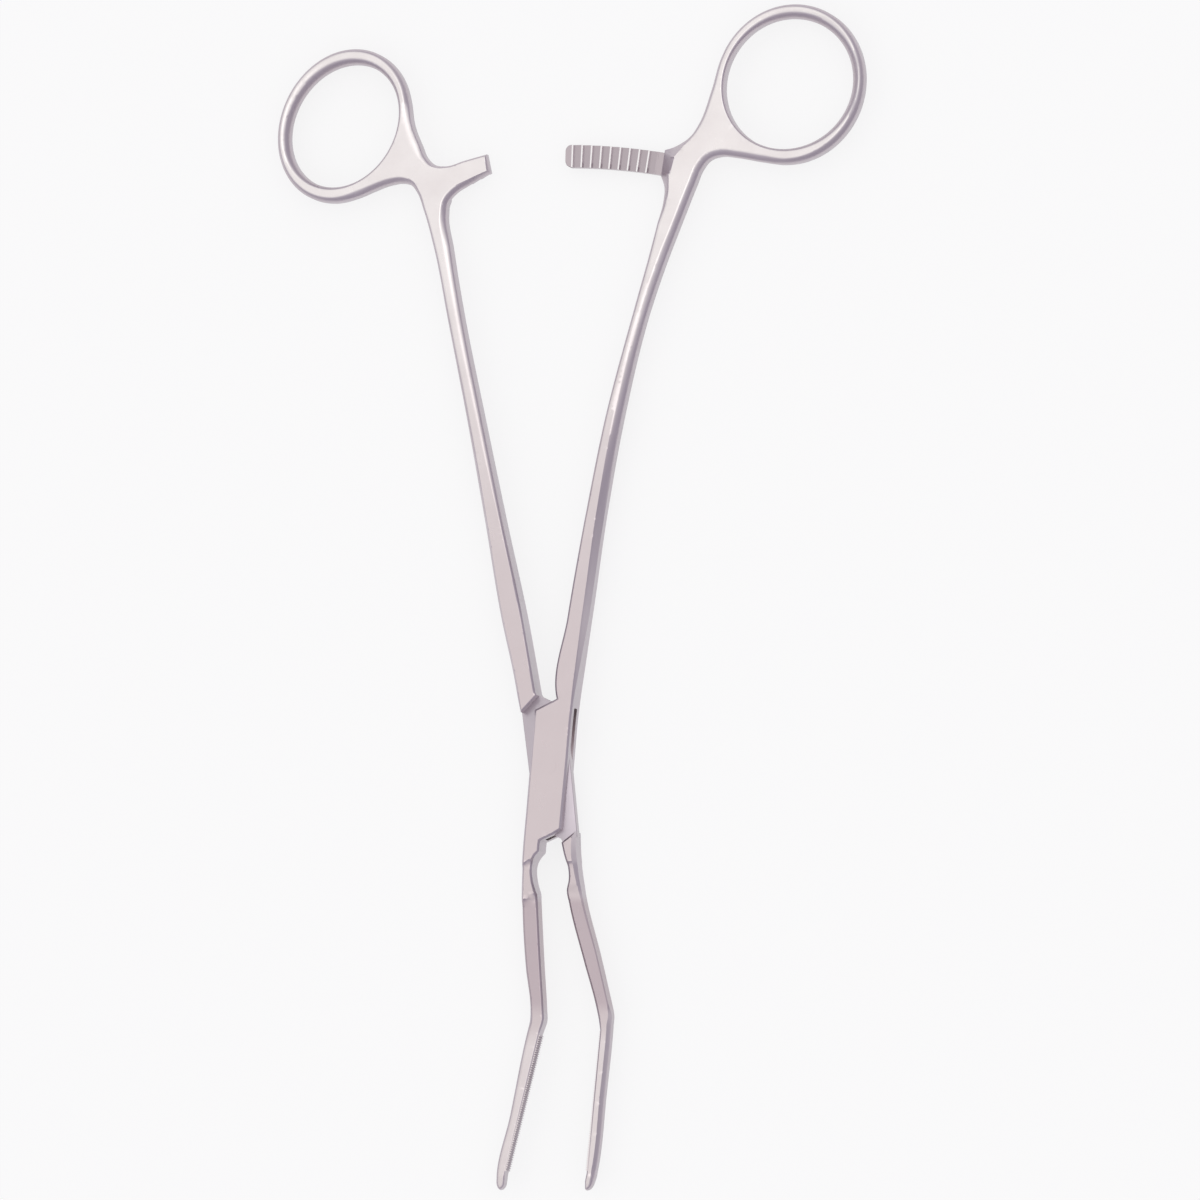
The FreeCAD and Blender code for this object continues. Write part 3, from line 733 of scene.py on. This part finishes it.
@dataclass(frozen=True)
class Oval:
    """One edge of a finger ring: where it lies, its half axes and how far the long one is turned."""

    x: float
    y: float
    long_half: float
    short_half: float
    turn: float

    def point(self, angle: float) -> Pair:
        """Finds the oval's point in a direction.

        Args:
            angle: The direction from the centre, in degrees from X.

        Returns:
            The point's x and y.
        """
        off = math.radians(angle - self.turn)
        reach = 1 / math.hypot(math.cos(off) / self.long_half, math.sin(off) / self.short_half)
        way = math.radians(angle)
        return self.x + reach * math.cos(way), self.y + reach * math.sin(way)

    def stop(self, angle: float, edge: tuple[Triple, Triple], share: float) -> Stop:
        """Makes the stop in a direction, with the edge at a share from 0 to 1."""
        return Stop(*self.point(angle), *(start + change * share for start, change in zip(*edge)))

    @staticmethod
    def near(angle: float, reference: float) -> float:
        """Tells how near a direction is to a reference direction, from 0, across from it, to 1."""
        return 0.5 + 0.5 * math.cos(math.radians(angle - reference))

    def arc(self, first: float, last: float, flat_angle: float = 315.0, step: float = 11.0) -> list[Stop]:
        """Lists stops along part of the oval, for the outside of the bar.

        Args:
            first: The direction of the first stop, in degrees from X.
            last: That of the last one.
            flat_angle: Where the edge falls off in a straight slope; across from it it's round.
            step: The angle from stop to stop.

        Returns:
            The stops, in order.
        """
        count = int(round((last - first) / step))
        angles = [first + (last - first) * index / count for index in range(count + 1)]
        return [self.stop(angle, BAR_EDGE, self.near(angle, flat_angle)) for angle in angles]

    def opening(self, web_angle: float, step: float = 10.0) -> list[Stop]:
        """Lists stops round the opening, where the edge is steep beside the web and long across from it.

        Args:
            web_angle: The direction of the web, in degrees from X.
            step: The angle from stop to stop.

        Returns:
            The stops, clockwise.
        """
        stops = []
        for index in range(int(360 / step)):
            angle = -index * step
            near = self.near(angle, web_angle)
            stops.append(self.stop(angle, OPENING_EDGE, near**2 * (3 - 2 * near)))
        return stops


@dataclass(frozen=True)
class Ratchet:
    """The two toothed arms: bands about the pivot whose saw teeth face each other.

    Lengths are millimetres, and angles are degrees off the Y axis. The ramp is the share of the pitch over
    which a tooth rises, and painted_light_and_wear is the width of the painted highlight on its crest. The
    long arm's pieces lap into each other by lap and crest_lap, and its teeth stand back from the band's
    sides by tooth_inset.
    """

    radius: float = 122.3
    width: float = 4.5
    pitch: float = 0.905
    depth: float = 0.42
    ramp: float = 0.86
    play: float = 0.05
    floor: float = -2.3
    long_tip: float = -4.3
    long_root: float = 6.2
    long_first: float = -3.6
    long_count: int = 9
    short_first: float = -0.45
    short_count: int = 4
    painted_light_and_wear: float = 0.26
    band_steps: int = 12
    tip_corner: float = 1.2
    tip_room: float = 1.1
    tip_steps: int = 6
    tip_bevel: float = 0.12
    lap: float = 0.1
    crest_lap: float = 0.02
    tooth_inset: float = 0.01

    def at(self, radius: float, angle: float) -> Pair:
        """Finds the place at a radius and an angle off the Y axis."""
        return radius * math.sin(math.radians(angle)), radius * math.cos(math.radians(angle))

    def stretch(self, first: float, last: float) -> list[Pair]:
        """Draws a stretch of the arm with square ends.

        Args:
            first: The angle of its first end.
            last: That of its last one.

        Returns:
            The outline.
        """
        half, steps = self.width / 2, self.band_steps
        angles = [first + (last - first) * index / steps for index in range(steps + 1)]
        return ([self.at(self.radius + half, angle) for angle in angles[::-1]]
                + [self.at(self.radius - half, angle) for angle in angles])

    def rounded(self, last: float) -> list[Pair]:
        """Draws the arm from its free tip, which is rounded.

        Args:
            last: The angle of its other end.

        Returns:
            The outline.
        """
        half, corner, steps = self.width / 2, self.tip_corner, self.tip_steps
        first = self.long_tip + math.degrees(self.tip_room * corner / self.radius)
        square = self.stretch(first, last)
        tip = math.radians(self.long_tip)
        x, y = self.at(self.radius, self.long_tip)
        points = []
        for side in (1, -1):
            for index in range(steps + 1)[::side]:
                angle = math.pi / 2 * index / steps
                back = corner * (1 - math.sin(angle))
                out = side * (half - corner * (1 - math.cos(angle)))
                points.append((x + math.cos(tip) * back + math.sin(tip) * out,
                               y - math.sin(tip) * back + math.cos(tip) * out))
        middle = len(square) // 2
        return square[:middle] + points + square[middle:]

    def arm(self, material: Material) -> Mesh:
        """Makes the long arm: a band, its plain tip and root, and a saw tooth for each pitch.

        Args:
            material: Its finish.

        Returns:
            The arm as one mesh of closed solids.
        """
        crest, valley, lap = -self.play, -self.play - self.depth, self.lap
        last = self.long_first + self.long_count * self.pitch
        pitch = math.radians(self.pitch) * self.radius
        low = prism("band", self.rounded(self.long_root), self.floor, valley)
        tip = prism("tip", self.rounded(self.long_first), self.floor + lap, crest, self.tip_bevel)
        root = prism("root", self.stretch(last, self.long_root), self.floor + lap, crest)
        profile = [(0.0, valley - lap), (pitch, valley - lap), (pitch, crest), (pitch * self.ramp, crest),
                   (0.0, valley)]
        side = self.width / 2 - self.tooth_inset
        tooth = prism("tooth", profile, -side, side)
        upright = Matrix.Translation((0, self.radius, 0)) @ Matrix.Rotation(math.pi / 2, 4, "X")
        tooth.transform(Matrix.Rotation(-math.radians(self.long_first), 4, "Z") @ upright)
        teeth = Pattern(self.long_count, -math.radians(self.pitch)).build(tooth, material)
        return joined("long_arm", [low, tip, root, teeth])

    def highlight_strips(self, material: Material) -> Mesh:
        """Makes painted highlights on the long arm's teeth, a thin strip on top of each tooth.

        Args:
            material: The light finish of the painted highlights.

        Returns:
            One thin strip for each tooth.
        """
        half, lap = self.width / 2 - self.crest_lap, self.crest_lap
        unit = prism("crest", [(-self.painted_light_and_wear, self.radius - half), (lap, self.radius - half),
                               (lap, self.radius + half), (-self.painted_light_and_wear, self.radius + half)],
                     -self.play - self.depth, -self.play + lap)
        unit.transform(Matrix.Rotation(-math.radians(self.long_first), 4, "Z"))
        return Pattern(self.long_count, -math.radians(self.pitch)).build(unit, material)

    def notches(self, material: Material) -> Mesh:
        """Makes the saw-tooth notches of the short arm, whose teeth look down.

        Args:
            material: The finish of the cut faces.

        Returns:
            The notches, to be cut out of the arm.
        """
        length = math.radians(self.pitch) * self.radius * self.ramp
        foot, valley = -self.depth, self.play + self.depth
        profile = [(0.0, foot), (0.0, valley), (-length, self.play), (-length, foot)]
        work = bmesh.new()
        ends = []
        for y in (self.radius - self.width, self.radius + self.width):
            ends.append([work.verts.new((x, y, z)) for x, z in profile])
        work.faces.new(ends[0])
        work.faces.new(ends[1][::-1])
        for index in range(len(profile)):
            after = (index + 1) % len(profile)
            work.faces.new((ends[0][index], ends[1][index], ends[1][after], ends[0][after]))
        work.transform(Matrix.Rotation(-math.radians(self.short_first), 4, "Z"))
        bmesh.ops.recalc_face_normals(work, faces=work.faces)
        return Pattern(self.short_count, math.radians(self.pitch)).build(meshed("notch", work), material)


@dataclass(frozen=True)
class Serrations:
    """The fine cross ridges on a blade's gripping edge, in millimetres.

    The side is +1 where the ridges stand to the left of the way from start to end, and -1 to the right.
    """

    start: Pair
    end: Pair
    side: int
    pitch: float = 0.45
    depth: float = 0.34
    reach: float = 1.66
    half_share: float = 0.48
    root_share: float = 1.6

    def build(self, material: Material) -> Mesh:
        """Lays the ridges along the edge, with Geometry Nodes.

        Args:
            material: Their finish.

        Returns:
            All ridges as one mesh.
        """
        way = Vector((self.end[0] - self.start[0], self.end[1] - self.start[1]))
        count = int(way.length / self.pitch)
        step = way.normalized() * self.pitch
        out = Vector((-way.y, way.x)).normalized() * self.side
        place, half = Vector(self.start), way.normalized() * self.pitch * self.half_share
        root = out * -self.depth * self.root_share
        foot = out * -self.depth
        corners = [place + root - half, place + root + half, place + foot + half, place, place + foot - half]
        ordered = corners if self.side < 0 else corners[::-1]
        unit = prism("ridge", [tuple(corner) for corner in ordered], -self.reach, self.reach)
        return Pattern(count, 0.0, (step.x, step.y, 0.0)).build(unit, material)


@dataclass
class Half:
    """What both halves of the clamp share: how they lie, their sizes and how meshes become pieces.

    Sizes are millimetres and angles degrees. The rows hold a height along the half, the thickness there
    and, where it has one, the level's slant; the tip is the thickness at the jaw's tip.
    """

    body: str = ""
    node: str = ""
    turn: float = 0.0
    lift: float = 3.5
    flat_angle: float = 8.0
    bevel: float = 0.4
    wall: float = 0.886
    bore: float = 1.6
    through: float = 5.0
    web_angle: float = 0.0
    ring_ends: Pair = (0.0, 360.0)
    tip: float = 2.4
    tip_height: float = -84.6
    jaw_rows: tuple[Pair, ...] = ((-82.0, 3.4), (-53.0, 3.9), (-49.5, 4.2))
    lock_rows: tuple[tuple[float, ...], ...] = ()
    shank_rows: tuple[Pair, ...] = ((30.0, 6.4), (50.0, 5.7), (70.0, 5.1), (92.0, 4.6), (128.0, 4.6),
                                    (140.0, 4.3), (160.0, 4.3))
    ratchet: Ratchet = Ratchet()

    def levels(self) -> list[Level]:
        """Lists the half's thickness from the jaw's tip to the ring."""
        tip = (self.tip_height, self.tip)
        return [Level(*row) for row in (tip, *self.jaw_rows, *self.lock_rows, *self.shank_rows)]

    def cutter(self) -> Mesh:
        """Makes a cylinder that bores right through the half."""
        return prism("bore", disc(self.bore), -self.through, self.through)

    def settle(self, mesh: Mesh, name: str, material: Material,
               sharp_angle: float = 32.0) -> bpy.types.Object:
        """Turns a mesh from the half's own frame into the row frame and rides it on its body.

        Args:
            mesh: The mesh, in millimetres.
            name: The piece's name.
            material: Its finish.
            sharp_angle: From which angle between faces an edge stays sharp, in degrees.

        Returns:
            The piece.
        """
        place = (Matrix.Scale(MM, 4) @ Matrix.Translation((0, 0, self.lift))
                 @ Matrix.Rotation(math.radians(self.turn), 4, "Z"))
        mesh.transform(place)
        mesh.materials.clear()
        mesh.materials.append(material)
        mesh.shade_smooth()
        mesh.set_sharp_from_angle(angle=math.radians(sharp_angle))
        piece = placed(name, mesh)
        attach(piece, self.body)
        LOG.info("%s: %d faces", name, len(mesh.polygons))
        return piece


@dataclass
class BowHalf(Half):
    """The half with the slotted box, the right ring and the long ratchet arm."""

    body: str = "box_body"
    node: str = "box_half"
    turn: float = -5.6
    ring: Oval = Oval(35.3, 139.5, 16.15, 15.01, 72.0)
    hole: Oval = Oval(35.0, 139.55, 13.4, 12.7, 53.0)
    slot_height: float = 2.5
    slot_outline: tuple[Pair, ...] = ((4.8, 11.4), (-1.0, 14.9), (-8.0, 14.9), (-8.0, -9.4), (-4.8, -11.4),
                                      (1.0, -14.9), (8.0, -14.9), (8.0, 9.4))
    web_angle: float = 218.0
    ring_ends: Pair = (272.0, 524.0)
    tip: float = 2.6
    lock_rows: tuple[tuple[float, ...], ...] = (
        (-28.2, 4.3), (-26.6, 4.4, 0.7), (-25.6, 4.9, 0.7), (-24.9, 5.9, 0.7), (-18.9, 5.6, 0.6),
        (-18.2, 5.9, 0.6), (-17.6, 7.0, 0.6), (14.0, 7.0))
    serrations: Serrations = Serrations((3.3, -53.5), (-0.95, -81.4), 1)

    def outline(self) -> Outline:
        """Draws the outside of the half, from the box up its outer side and down its inner side.

        Returns:
            The outline.
        """
        bevel, wall, sharp = self.bevel, self.wall, Corner.SHARP
        plain, plain_corner, neck = (bevel, wall), (bevel, wall, 0, sharp), (bevel, 0.82)
        outer = [
            Stop(3.8, -12.3, *plain_corner), *alike(plain, (3.8, 0.0), (3.8, 13.0)),
            Stop(4.35, 21.0, 0.75, 0.72), Stop(5.0, 30.0, 1.15, 0.5), Stop(6.05, 50.0, 1.4, 0.45),
            Stop(7.75, 70.0, 1.5, 0.45, 0.3), Stop(11.0, 92.0, 1.5, 0.45, 0.5),
            Stop(13.7, 103.2, 1.4, 0.5, 0.3),
            *alike((1.3, 0.5, 0.3), (15.4, 109.1), (18.1, 118.2), (19.1, 121.3), (20.5, 123.3),
                   (22.8, 124.2), (25.9, 124.15), (31.4, 123.65)),
        ]
        inner = [
            Stop(19.55, 137.2, 0.9, 0.4, 0.8), Stop(17.6, 130.0, 0.8, 0.5, 0.8),
            Stop(16.35, 127.75, 0.7, 0.5, 0.8), Stop(14.6, 126.25, 0.9, 0.4, 0.4),
            Stop(12.6, 125.2, 2.2, 0.02, 0.0), Stop(11.0, 124.6, 2.8, 0.02, 0, sharp),
            Stop(10.7, 119.4, 2.2, 0.02, 0, sharp), Stop(11.75, 117.2, 1.2, 0.3, 0.3),
            Stop(11.95, 114.3, 0.9, 0.5, 0.5), Stop(11.2, 109.6, 0.8, 0.6, 1.0),
            *alike((0.9, 0.5, 1.0), (10.0, 102.6), (8.05, 92.0)), Stop(4.45, 70.0, 0.6, 0.7, 0.8),
            Stop(2.45, 50.0, 0.4, 0.84), *alike(plain, (0.95, 30.0), (0.25, 14.0)),
            *alike(plain_corner, (0.4, 13.5), (-0.95, 12.7), (-3.8, 10.95)),
            *alike(plain, (-3.6, -8.0), (-3.45, -19.0)), Stop(-3.1, -25.0, bevel, 0.84),
            *alike(neck, (-2.8, -28.0), (-0.95, -40.0), (0.85, -48.6)), Stop(0.95, -50.2, 0.5, 0.8),
            Stop(0.55, -52.6, 0.8, 0.6, 1.0), Stop(-1.45, -70.0, 0.8, 0.55, 1.0),
            Stop(-2.95, -82.4, 0.7, 0.55, 1.0),
            *alike((0.7, 0.5, 1.0), (-2.8, -83.8), (-2.1, -84.6), (-1.35, -84.0)),
            Stop(-1.2, -82.7, 0.4, 0.7, 0.6),
            *alike((0.25, 0.9, 0, sharp), (-1.28, -81.55), (2.98, -53.3)), Stop(3.22, -52.4, 0.35, 0.85),
            *alike(neck, (3.7, -50.2), (3.45, -48.2), (2.15, -40.0), (0.35, -28.0)),
            Stop(0.0, -25.6, bevel, 0.8, 0, sharp), Stop(-1.1, -22.8, bevel, 0.84),
            Stop(-1.5, -20.0, bevel, 0.86), Stop(-1.1, -18.2, *plain),
            *alike(plain_corner, (-0.25, -17.0), (-0.25, -14.9), (2.2, -13.5)),
        ]
        return Outline(outer + self.ring.arc(*self.ring_ends) + inner)

    def build(self, material: Material, shade: Material, crest_highlight: Material) -> None:
        """Builds and dresses the half.

        Args:
            material: The finish of the half.
            shade: A darker copy of the steel, painted shade on its ratchet arm.
            crest_highlight: The light finish of the painted highlights on its teeth.
        """
        outlines = [self.outline(), Outline(self.hole.opening(self.web_angle))]
        forging = Forging("bow_forging", outlines, self.levels())
        slot = prism("slot", list(self.slot_outline), -self.slot_height / 2, self.slot_height / 2)
        body = carve(forging.build(), [slot, self.cutter()])
        arm = self.ratchet.arm(shade)
        ridges = self.serrations.build(material)
        # The arm gets the darker copy of the steel, painted shade.
        self.settle(arm, "long_arm", shade, self.flat_angle)
        # Painted highlights: a light strip on top of each tooth of the long arm.
        self.settle(self.ratchet.highlight_strips(crest_highlight), "tooth_crest_highlights", crest_highlight, self.flat_angle)
        self.settle(ridges, "bow_serrations", material)
        piece = self.settle(body, "bow_half", material)
        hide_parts(self.node)


@dataclass
class StraightHalf(Half):
    """The half with the tongue, the left ring and the short ratchet arm."""

    body: str = "inner_body"
    node: str = "inner_half"
    turn: float = 5.6
    ring: Oval = Oval(-29.55, 132.85, 15.91, 13.05, 58.8)
    hole: Oval = Oval(-29.4, 132.8, 12.95, 10.45, 53.2)
    tongue_height: float = 2.4
    tongue_outline: tuple[Pair, ...] = ((4.1, -14.5), (4.1, 11.4), (-0.9, 14.45), (-1.4, 14.8), (-4.8, 14.8),
                                        (-4.1, -11.4), (0.9, -14.45), (1.4, -16.4))
    tongue_bevel: float = 0.12
    lap_outline: tuple[Pair, ...] = ((-9.6, 114.5), (3.0, 114.5), (3.0, 126.5), (-9.6, 126.5))
    bore: float = 1.63
    web_angle: float = -42.0
    ring_ends: Pair = (14.0, 256.0)
    lock_rows: tuple[tuple[float, ...], ...] = (
        (-27.0, 4.3), (-25.4, 4.6), (-24.0, 5.4), (-20.6, 5.8), (-19.8, 6.1), (-19.3, 7.0), (15.0, 7.0))
    serrations: Serrations = Serrations((4.82, -53.6), (-0.8, -81.3), -1)

    def upper(self) -> Outline:
        """Draws the outline above the lock: shoulder, shank, web, arm and ring.

        Returns:
            The outline.
        """
        bevel, wall, sharp = self.bevel, self.wall, Corner.SHARP
        plain, plain_corner = (bevel, wall), (bevel, wall, 0, sharp)
        inner = [
            *alike((0.25, 0.93, 0, sharp), (-4.5, 11.35), (-0.95, 14.4)),
            Stop(-1.2, 15.0, *plain_corner), Stop(-2.4, 30.0, *plain),
            Stop(-4.65, 50.0, 0.6, 0.7, 0.6), Stop(-6.8, 70.0, 1.2, 0.6, 1.0),
            *alike((1.5, 0.6, 1.0), (-9.1, 92.0), (-9.6, 98.4)), Stop(-10.05, 106.0, 1.5, 0.6, 0.9),
            Stop(-10.35, 112.4, 1.2, 0.5, 0.4), *alike((1.1, 0.5, 0.3), (-9.75, 114.9), (-8.1, 116.5)),
            Stop(-4.3, 118.2, 0.9, 0.5, 0.3), Stop(-0.5, 119.7, 0.6, 0.5, 0.3, sharp),
            Stop(-0.9, 123.5, 0.5, 0.6, 0.8, sharp),
            *alike((0.45, 0.6, 0.6), (-5.5, 122.8), (-9.6, 122.15)), Stop(-11.7, 122.7, 0.6, 0.4, 0.5),
            Stop(-13.35, 124.3, 1.1, 0.6, 0.9), *alike((2.0, 0.72, 1.0), (-14.4, 127.2), (-15.55, 131.4)),
        ]
        outer = [
            Stop(-27.9, 118.25, 1.3, 0.5, 0.3), *alike((1.2, 0.5, 0.3), (-24.8, 119.15), (-21.3, 119.95)),
            Stop(-18.6, 119.95, 1.1, 0.5, 0.3), Stop(-16.9, 119.2, 0.9, 0.5, 0.4),
            Stop(-15.9, 117.6, 0.7, 0.5, 0.6), Stop(-14.9, 113.9, 0.7, 0.5, 0.9),
            Stop(-13.5, 105.9, 0.8, 0.5, 1.0), Stop(-12.15, 92.0, 0.9, 0.5, 1.0),
            Stop(-10.0, 70.0, 0.8, 0.5, 0.8), Stop(-8.35, 50.0, 0.7, 0.55, 0.3),
            Stop(-6.7, 30.0, 0.5, 0.75), Stop(-5.3, 19.0, 0.5, 0.8), Stop(-4.8, 14.0, *plain),
        ]
        return Outline(inner + self.ring.arc(*self.ring_ends) + outer)

    def lower(self) -> Outline:
        """Draws the outline below the lock: jaw root, neck and blade.

        Returns:
            The outline.
        """
        bevel, wall, sharp = self.bevel, self.wall, Corner.SHARP
        plain, plain_corner, neck = (bevel, wall), (bevel, wall, 0, sharp), (bevel, 0.82)
        return Outline([
            Stop(4.05, -13.5, 0.5, 0.7, 0, sharp), Stop(1.2, -15.4, *plain_corner),
            *alike(plain, (1.45, -17.6), (1.95, -20.6)), Stop(1.75, -23.0, bevel, 0.84),
            *alike(neck, (1.1, -25.0), (1.3, -27.6), (3.1, -39.0), (4.75, -48.6), (5.0, -51.0)),
            *alike((0.25, 0.9, 0, sharp), (5.12, -53.4), (-0.46, -81.3)),
            Stop(-1.1, -83.4, 0.3, 0.8, 0.5), Stop(-1.05, -84.55, 0.5, 0.6, 0.6),
            Stop(-0.3, -84.3, 0.6, 0.5, 0.8), Stop(0.75, -82.8, 0.8, 0.4, 0.6),
            Stop(1.45, -80.6, 0.8, 0.5, 0.2), *alike((0.8, 0.5, 0.1), (4.6, -66.0), (7.3, -52.6)),
            Stop(7.6, -50.6, 0.6, 0.6), *alike((0.25, 0.92), (7.3, -48.4), (5.9, -38.0)),
            Stop(4.2, -27.0, 0.4, 0.88), Stop(3.85, -22.0, 0.7, 0.75), Stop(3.8, -18.0, 0.85, 0.68),
        ])

    def build(self, material: Material, shade: Material) -> None:
        """Builds and dresses the half.

        Args:
            material: The finish of the half.
            shade: A darker copy of the steel, painted shade on the tongue.
        """
        outlines = [self.upper(), Outline(self.hole.opening(self.web_angle))]
        handle = Forging("straight_handle", outlines, self.levels())
        lap = prism("lap", list(self.lap_outline), -self.through, self.ratchet.play)
        teeth = self.ratchet.notches(material)
        tongue = prism("tongue", list(self.tongue_outline), -self.tongue_height / 2, self.tongue_height / 2,
                       self.tongue_bevel)
        # The tongue gets the darker copy of the steel, painted shade.
        self.settle(carve(tongue, [self.cutter()]), "tongue", shade)
        self.settle(self.serrations.build(material), "straight_serrations", material)
        piece = self.settle(carve(handle.build(), [lap, teeth]), "straight_handle", material)
        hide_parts(self.node)
        jaw = Forging("straight_jaw", [self.lower()], self.levels())
        self.settle(jaw.build(), "straight_jaw", material)


@dataclass
class Studio:
    """The floor, the soft light and the camera at the photograph's angle.

    Sizes are metres and angles degrees. Each pair says between which cosines to a light the glow rises.
    """

    distance: float = 3.0
    sensor: float = 36.0
    view_width: float = 0.2385
    clip_end: float = 20.0
    target: Triple = (0.0104, 0.033, 0.006)
    from_right: float = 12.5
    from_below: float = 5.0
    floor_size: float = 6.0
    floor_tone: Triple = (0.95, 0.95, 0.95)
    floor_glow: float = 0.78
    light_from: Triple = (-0.12, 0.16, 1.0)
    light_band: Pair = (-0.1, 0.95)
    box_from: Triple = (0.2, 0.08, 1.0)
    box_band: Pair = (0.93, 0.985)
    dark_side: float = 0.45
    room_gain: float = 0.48
    box_gain: float = 0.6
    dark_tone: Triple = (0.88, 0.83, 1.0)
    light_tone: Triple = (1.0, 0.985, 0.99)

    def camera(self) -> None:
        """Sets the camera up at the photograph's viewing angle.

        It stands far off, a little to the right of the clamp and below it, with the clamp's length upright.
        """
        aside, below = (math.tan(math.radians(angle)) for angle in (self.from_right, self.from_below))
        back = Vector((aside, -below, 1.0)).normalized()
        right = Vector((0.0, 1.0, 0.0)).cross(back).normalized()
        up = back.cross(right)
        lens = bpy.data.cameras.new("camera")
        lens.sensor_width = self.sensor
        lens.lens = self.sensor * self.distance / self.view_width
        lens.clip_end = self.clip_end
        camera = placed("camera", lens)
        turned = Matrix((right, up, back)).transposed().to_4x4()
        camera.matrix_world = Matrix.Translation(Vector(self.target) + back * self.distance) @ turned
        bpy.context.scene.camera = camera

    def floor(self) -> None:
        """Lays the pale floor, which keeps the shadow and shows white to the eye."""
        half = self.floor_size / 2
        mesh = bpy.data.meshes.new("floor")
        mesh.from_pydata([(-half, -half, 0.0), (half, -half, 0.0), (half, half, 0.0), (-half, half, 0.0)],
                         [], [(0, 1, 2, 3)])
        floor = placed("floor", mesh)
        material = bpy.data.materials.new("pale_floor")
        material.use_nodes = True
        canvas = Canvas(material.node_tree)
        diffuse = canvas.node("ShaderNodeBsdfDiffuse", {}, {"Color": opaque(self.floor_tone)})
        glow = canvas.node("ShaderNodeEmission", {}, {"Color": (1.0, 1.0, 1.0, 1.0), "Strength": 1.0})
        seen = [canvas.node("ShaderNodeLightPath", {}, {}, f"Is {kind} Ray")
                for kind in ("Camera", "Glossy", "Transmission")]
        mixed = canvas.node("ShaderNodeMixShader", {}, {0: (seen[0] + seen[1] + seen[2]) * self.floor_glow,
                                                        1: diffuse, 2: glow})
        canvas.node("ShaderNodeOutputMaterial", {}, {"Surface": mixed})
        mesh.materials.append(material)

    def glow(self, canvas: Canvas, source: Triple, band: Pair) -> Value:
        """Adds a glow that rises towards a light.

        Args:
            canvas: The world's node tree.
            source: The direction of the light.
            band: The cosines at which the glow starts and is full.

        Returns:
            The glow, from 0 to 1.
        """
        direction = canvas.node("ShaderNodeTexCoord", {}, {}, "Generated")
        cosine = canvas.node("ShaderNodeVectorMath", {"operation": "DOT_PRODUCT"},
                             {0: direction, 1: Vector(source).normalized()}, "Value")
        return canvas.step(cosine, *band)

    def lights(self) -> None:
        """Fills the room with soft light from above, with a brighter patch a little to the right."""
        world = bpy.data.worlds.new("studio")
        bpy.context.scene.world = world
        world.use_nodes = True
        canvas = Canvas(world.node_tree)
        room = self.glow(canvas, self.light_from, self.light_band)
        box = self.glow(canvas, self.box_from, self.box_band)
        strength = self.dark_side + room * self.room_gain + box * self.box_gain
        tone = canvas.mix(room, opaque(self.dark_tone), opaque(self.light_tone))
        glow = canvas.node("ShaderNodeBackground", {}, {"Color": tone, "Strength": strength})
        canvas.node("ShaderNodeOutputWorld", {}, {"Surface": glow})

    def build(self) -> None:
        """Sets up the whole studio."""
        self.camera()
        self.floor()
        self.lights()
        bpy.context.scene.view_settings.view_transform = "Standard"


def main() -> None:
    """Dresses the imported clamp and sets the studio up."""
    logging.basicConfig(level=logging.INFO, format="%(name)s: %(message)s")
    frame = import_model()
    # The steel's slopes, walls and neck are painted shade, and its handle and blades painted light.
    steel = SatinSteel("satin_steel", face=(0.655, 0.58, 0.59), handle=(0.88, 0.84, 0.83),
                       slope=(0.6, 0.54, 0.58), wall=(0.56, 0.51, 0.55)).build()
    # A darker copy of the steel, painted shade on the ratchet arm and the tongue.
    shade = SatinSteel("painted_shade_steel", face=(0.54, 0.49, 0.53), handle=(0.52, 0.46, 0.48),
                       slope=(0.42, 0.36, 0.4), wall=(0.6, 0.55, 0.58)).build()
    # A light copy of the steel, for the painted highlights on the teeth.
    crest_highlight = SatinSteel("painted_highlight_steel", face=(0.95, 0.93, 0.93), handle=(0.95, 0.93, 0.93),
                        slope=(0.9, 0.87, 0.88), wall=(0.9, 0.87, 0.88), roughness=0.2).build()
    pin = frame["nodes"]["lock_pin"]
    pin.data.materials.clear()
    pin.data.materials.append(steel)
    BowHalf().build(steel, shade, crest_highlight)
    StraightHalf().build(steel, shade)
    Studio().build()


if __name__ == "__main__":
    main()
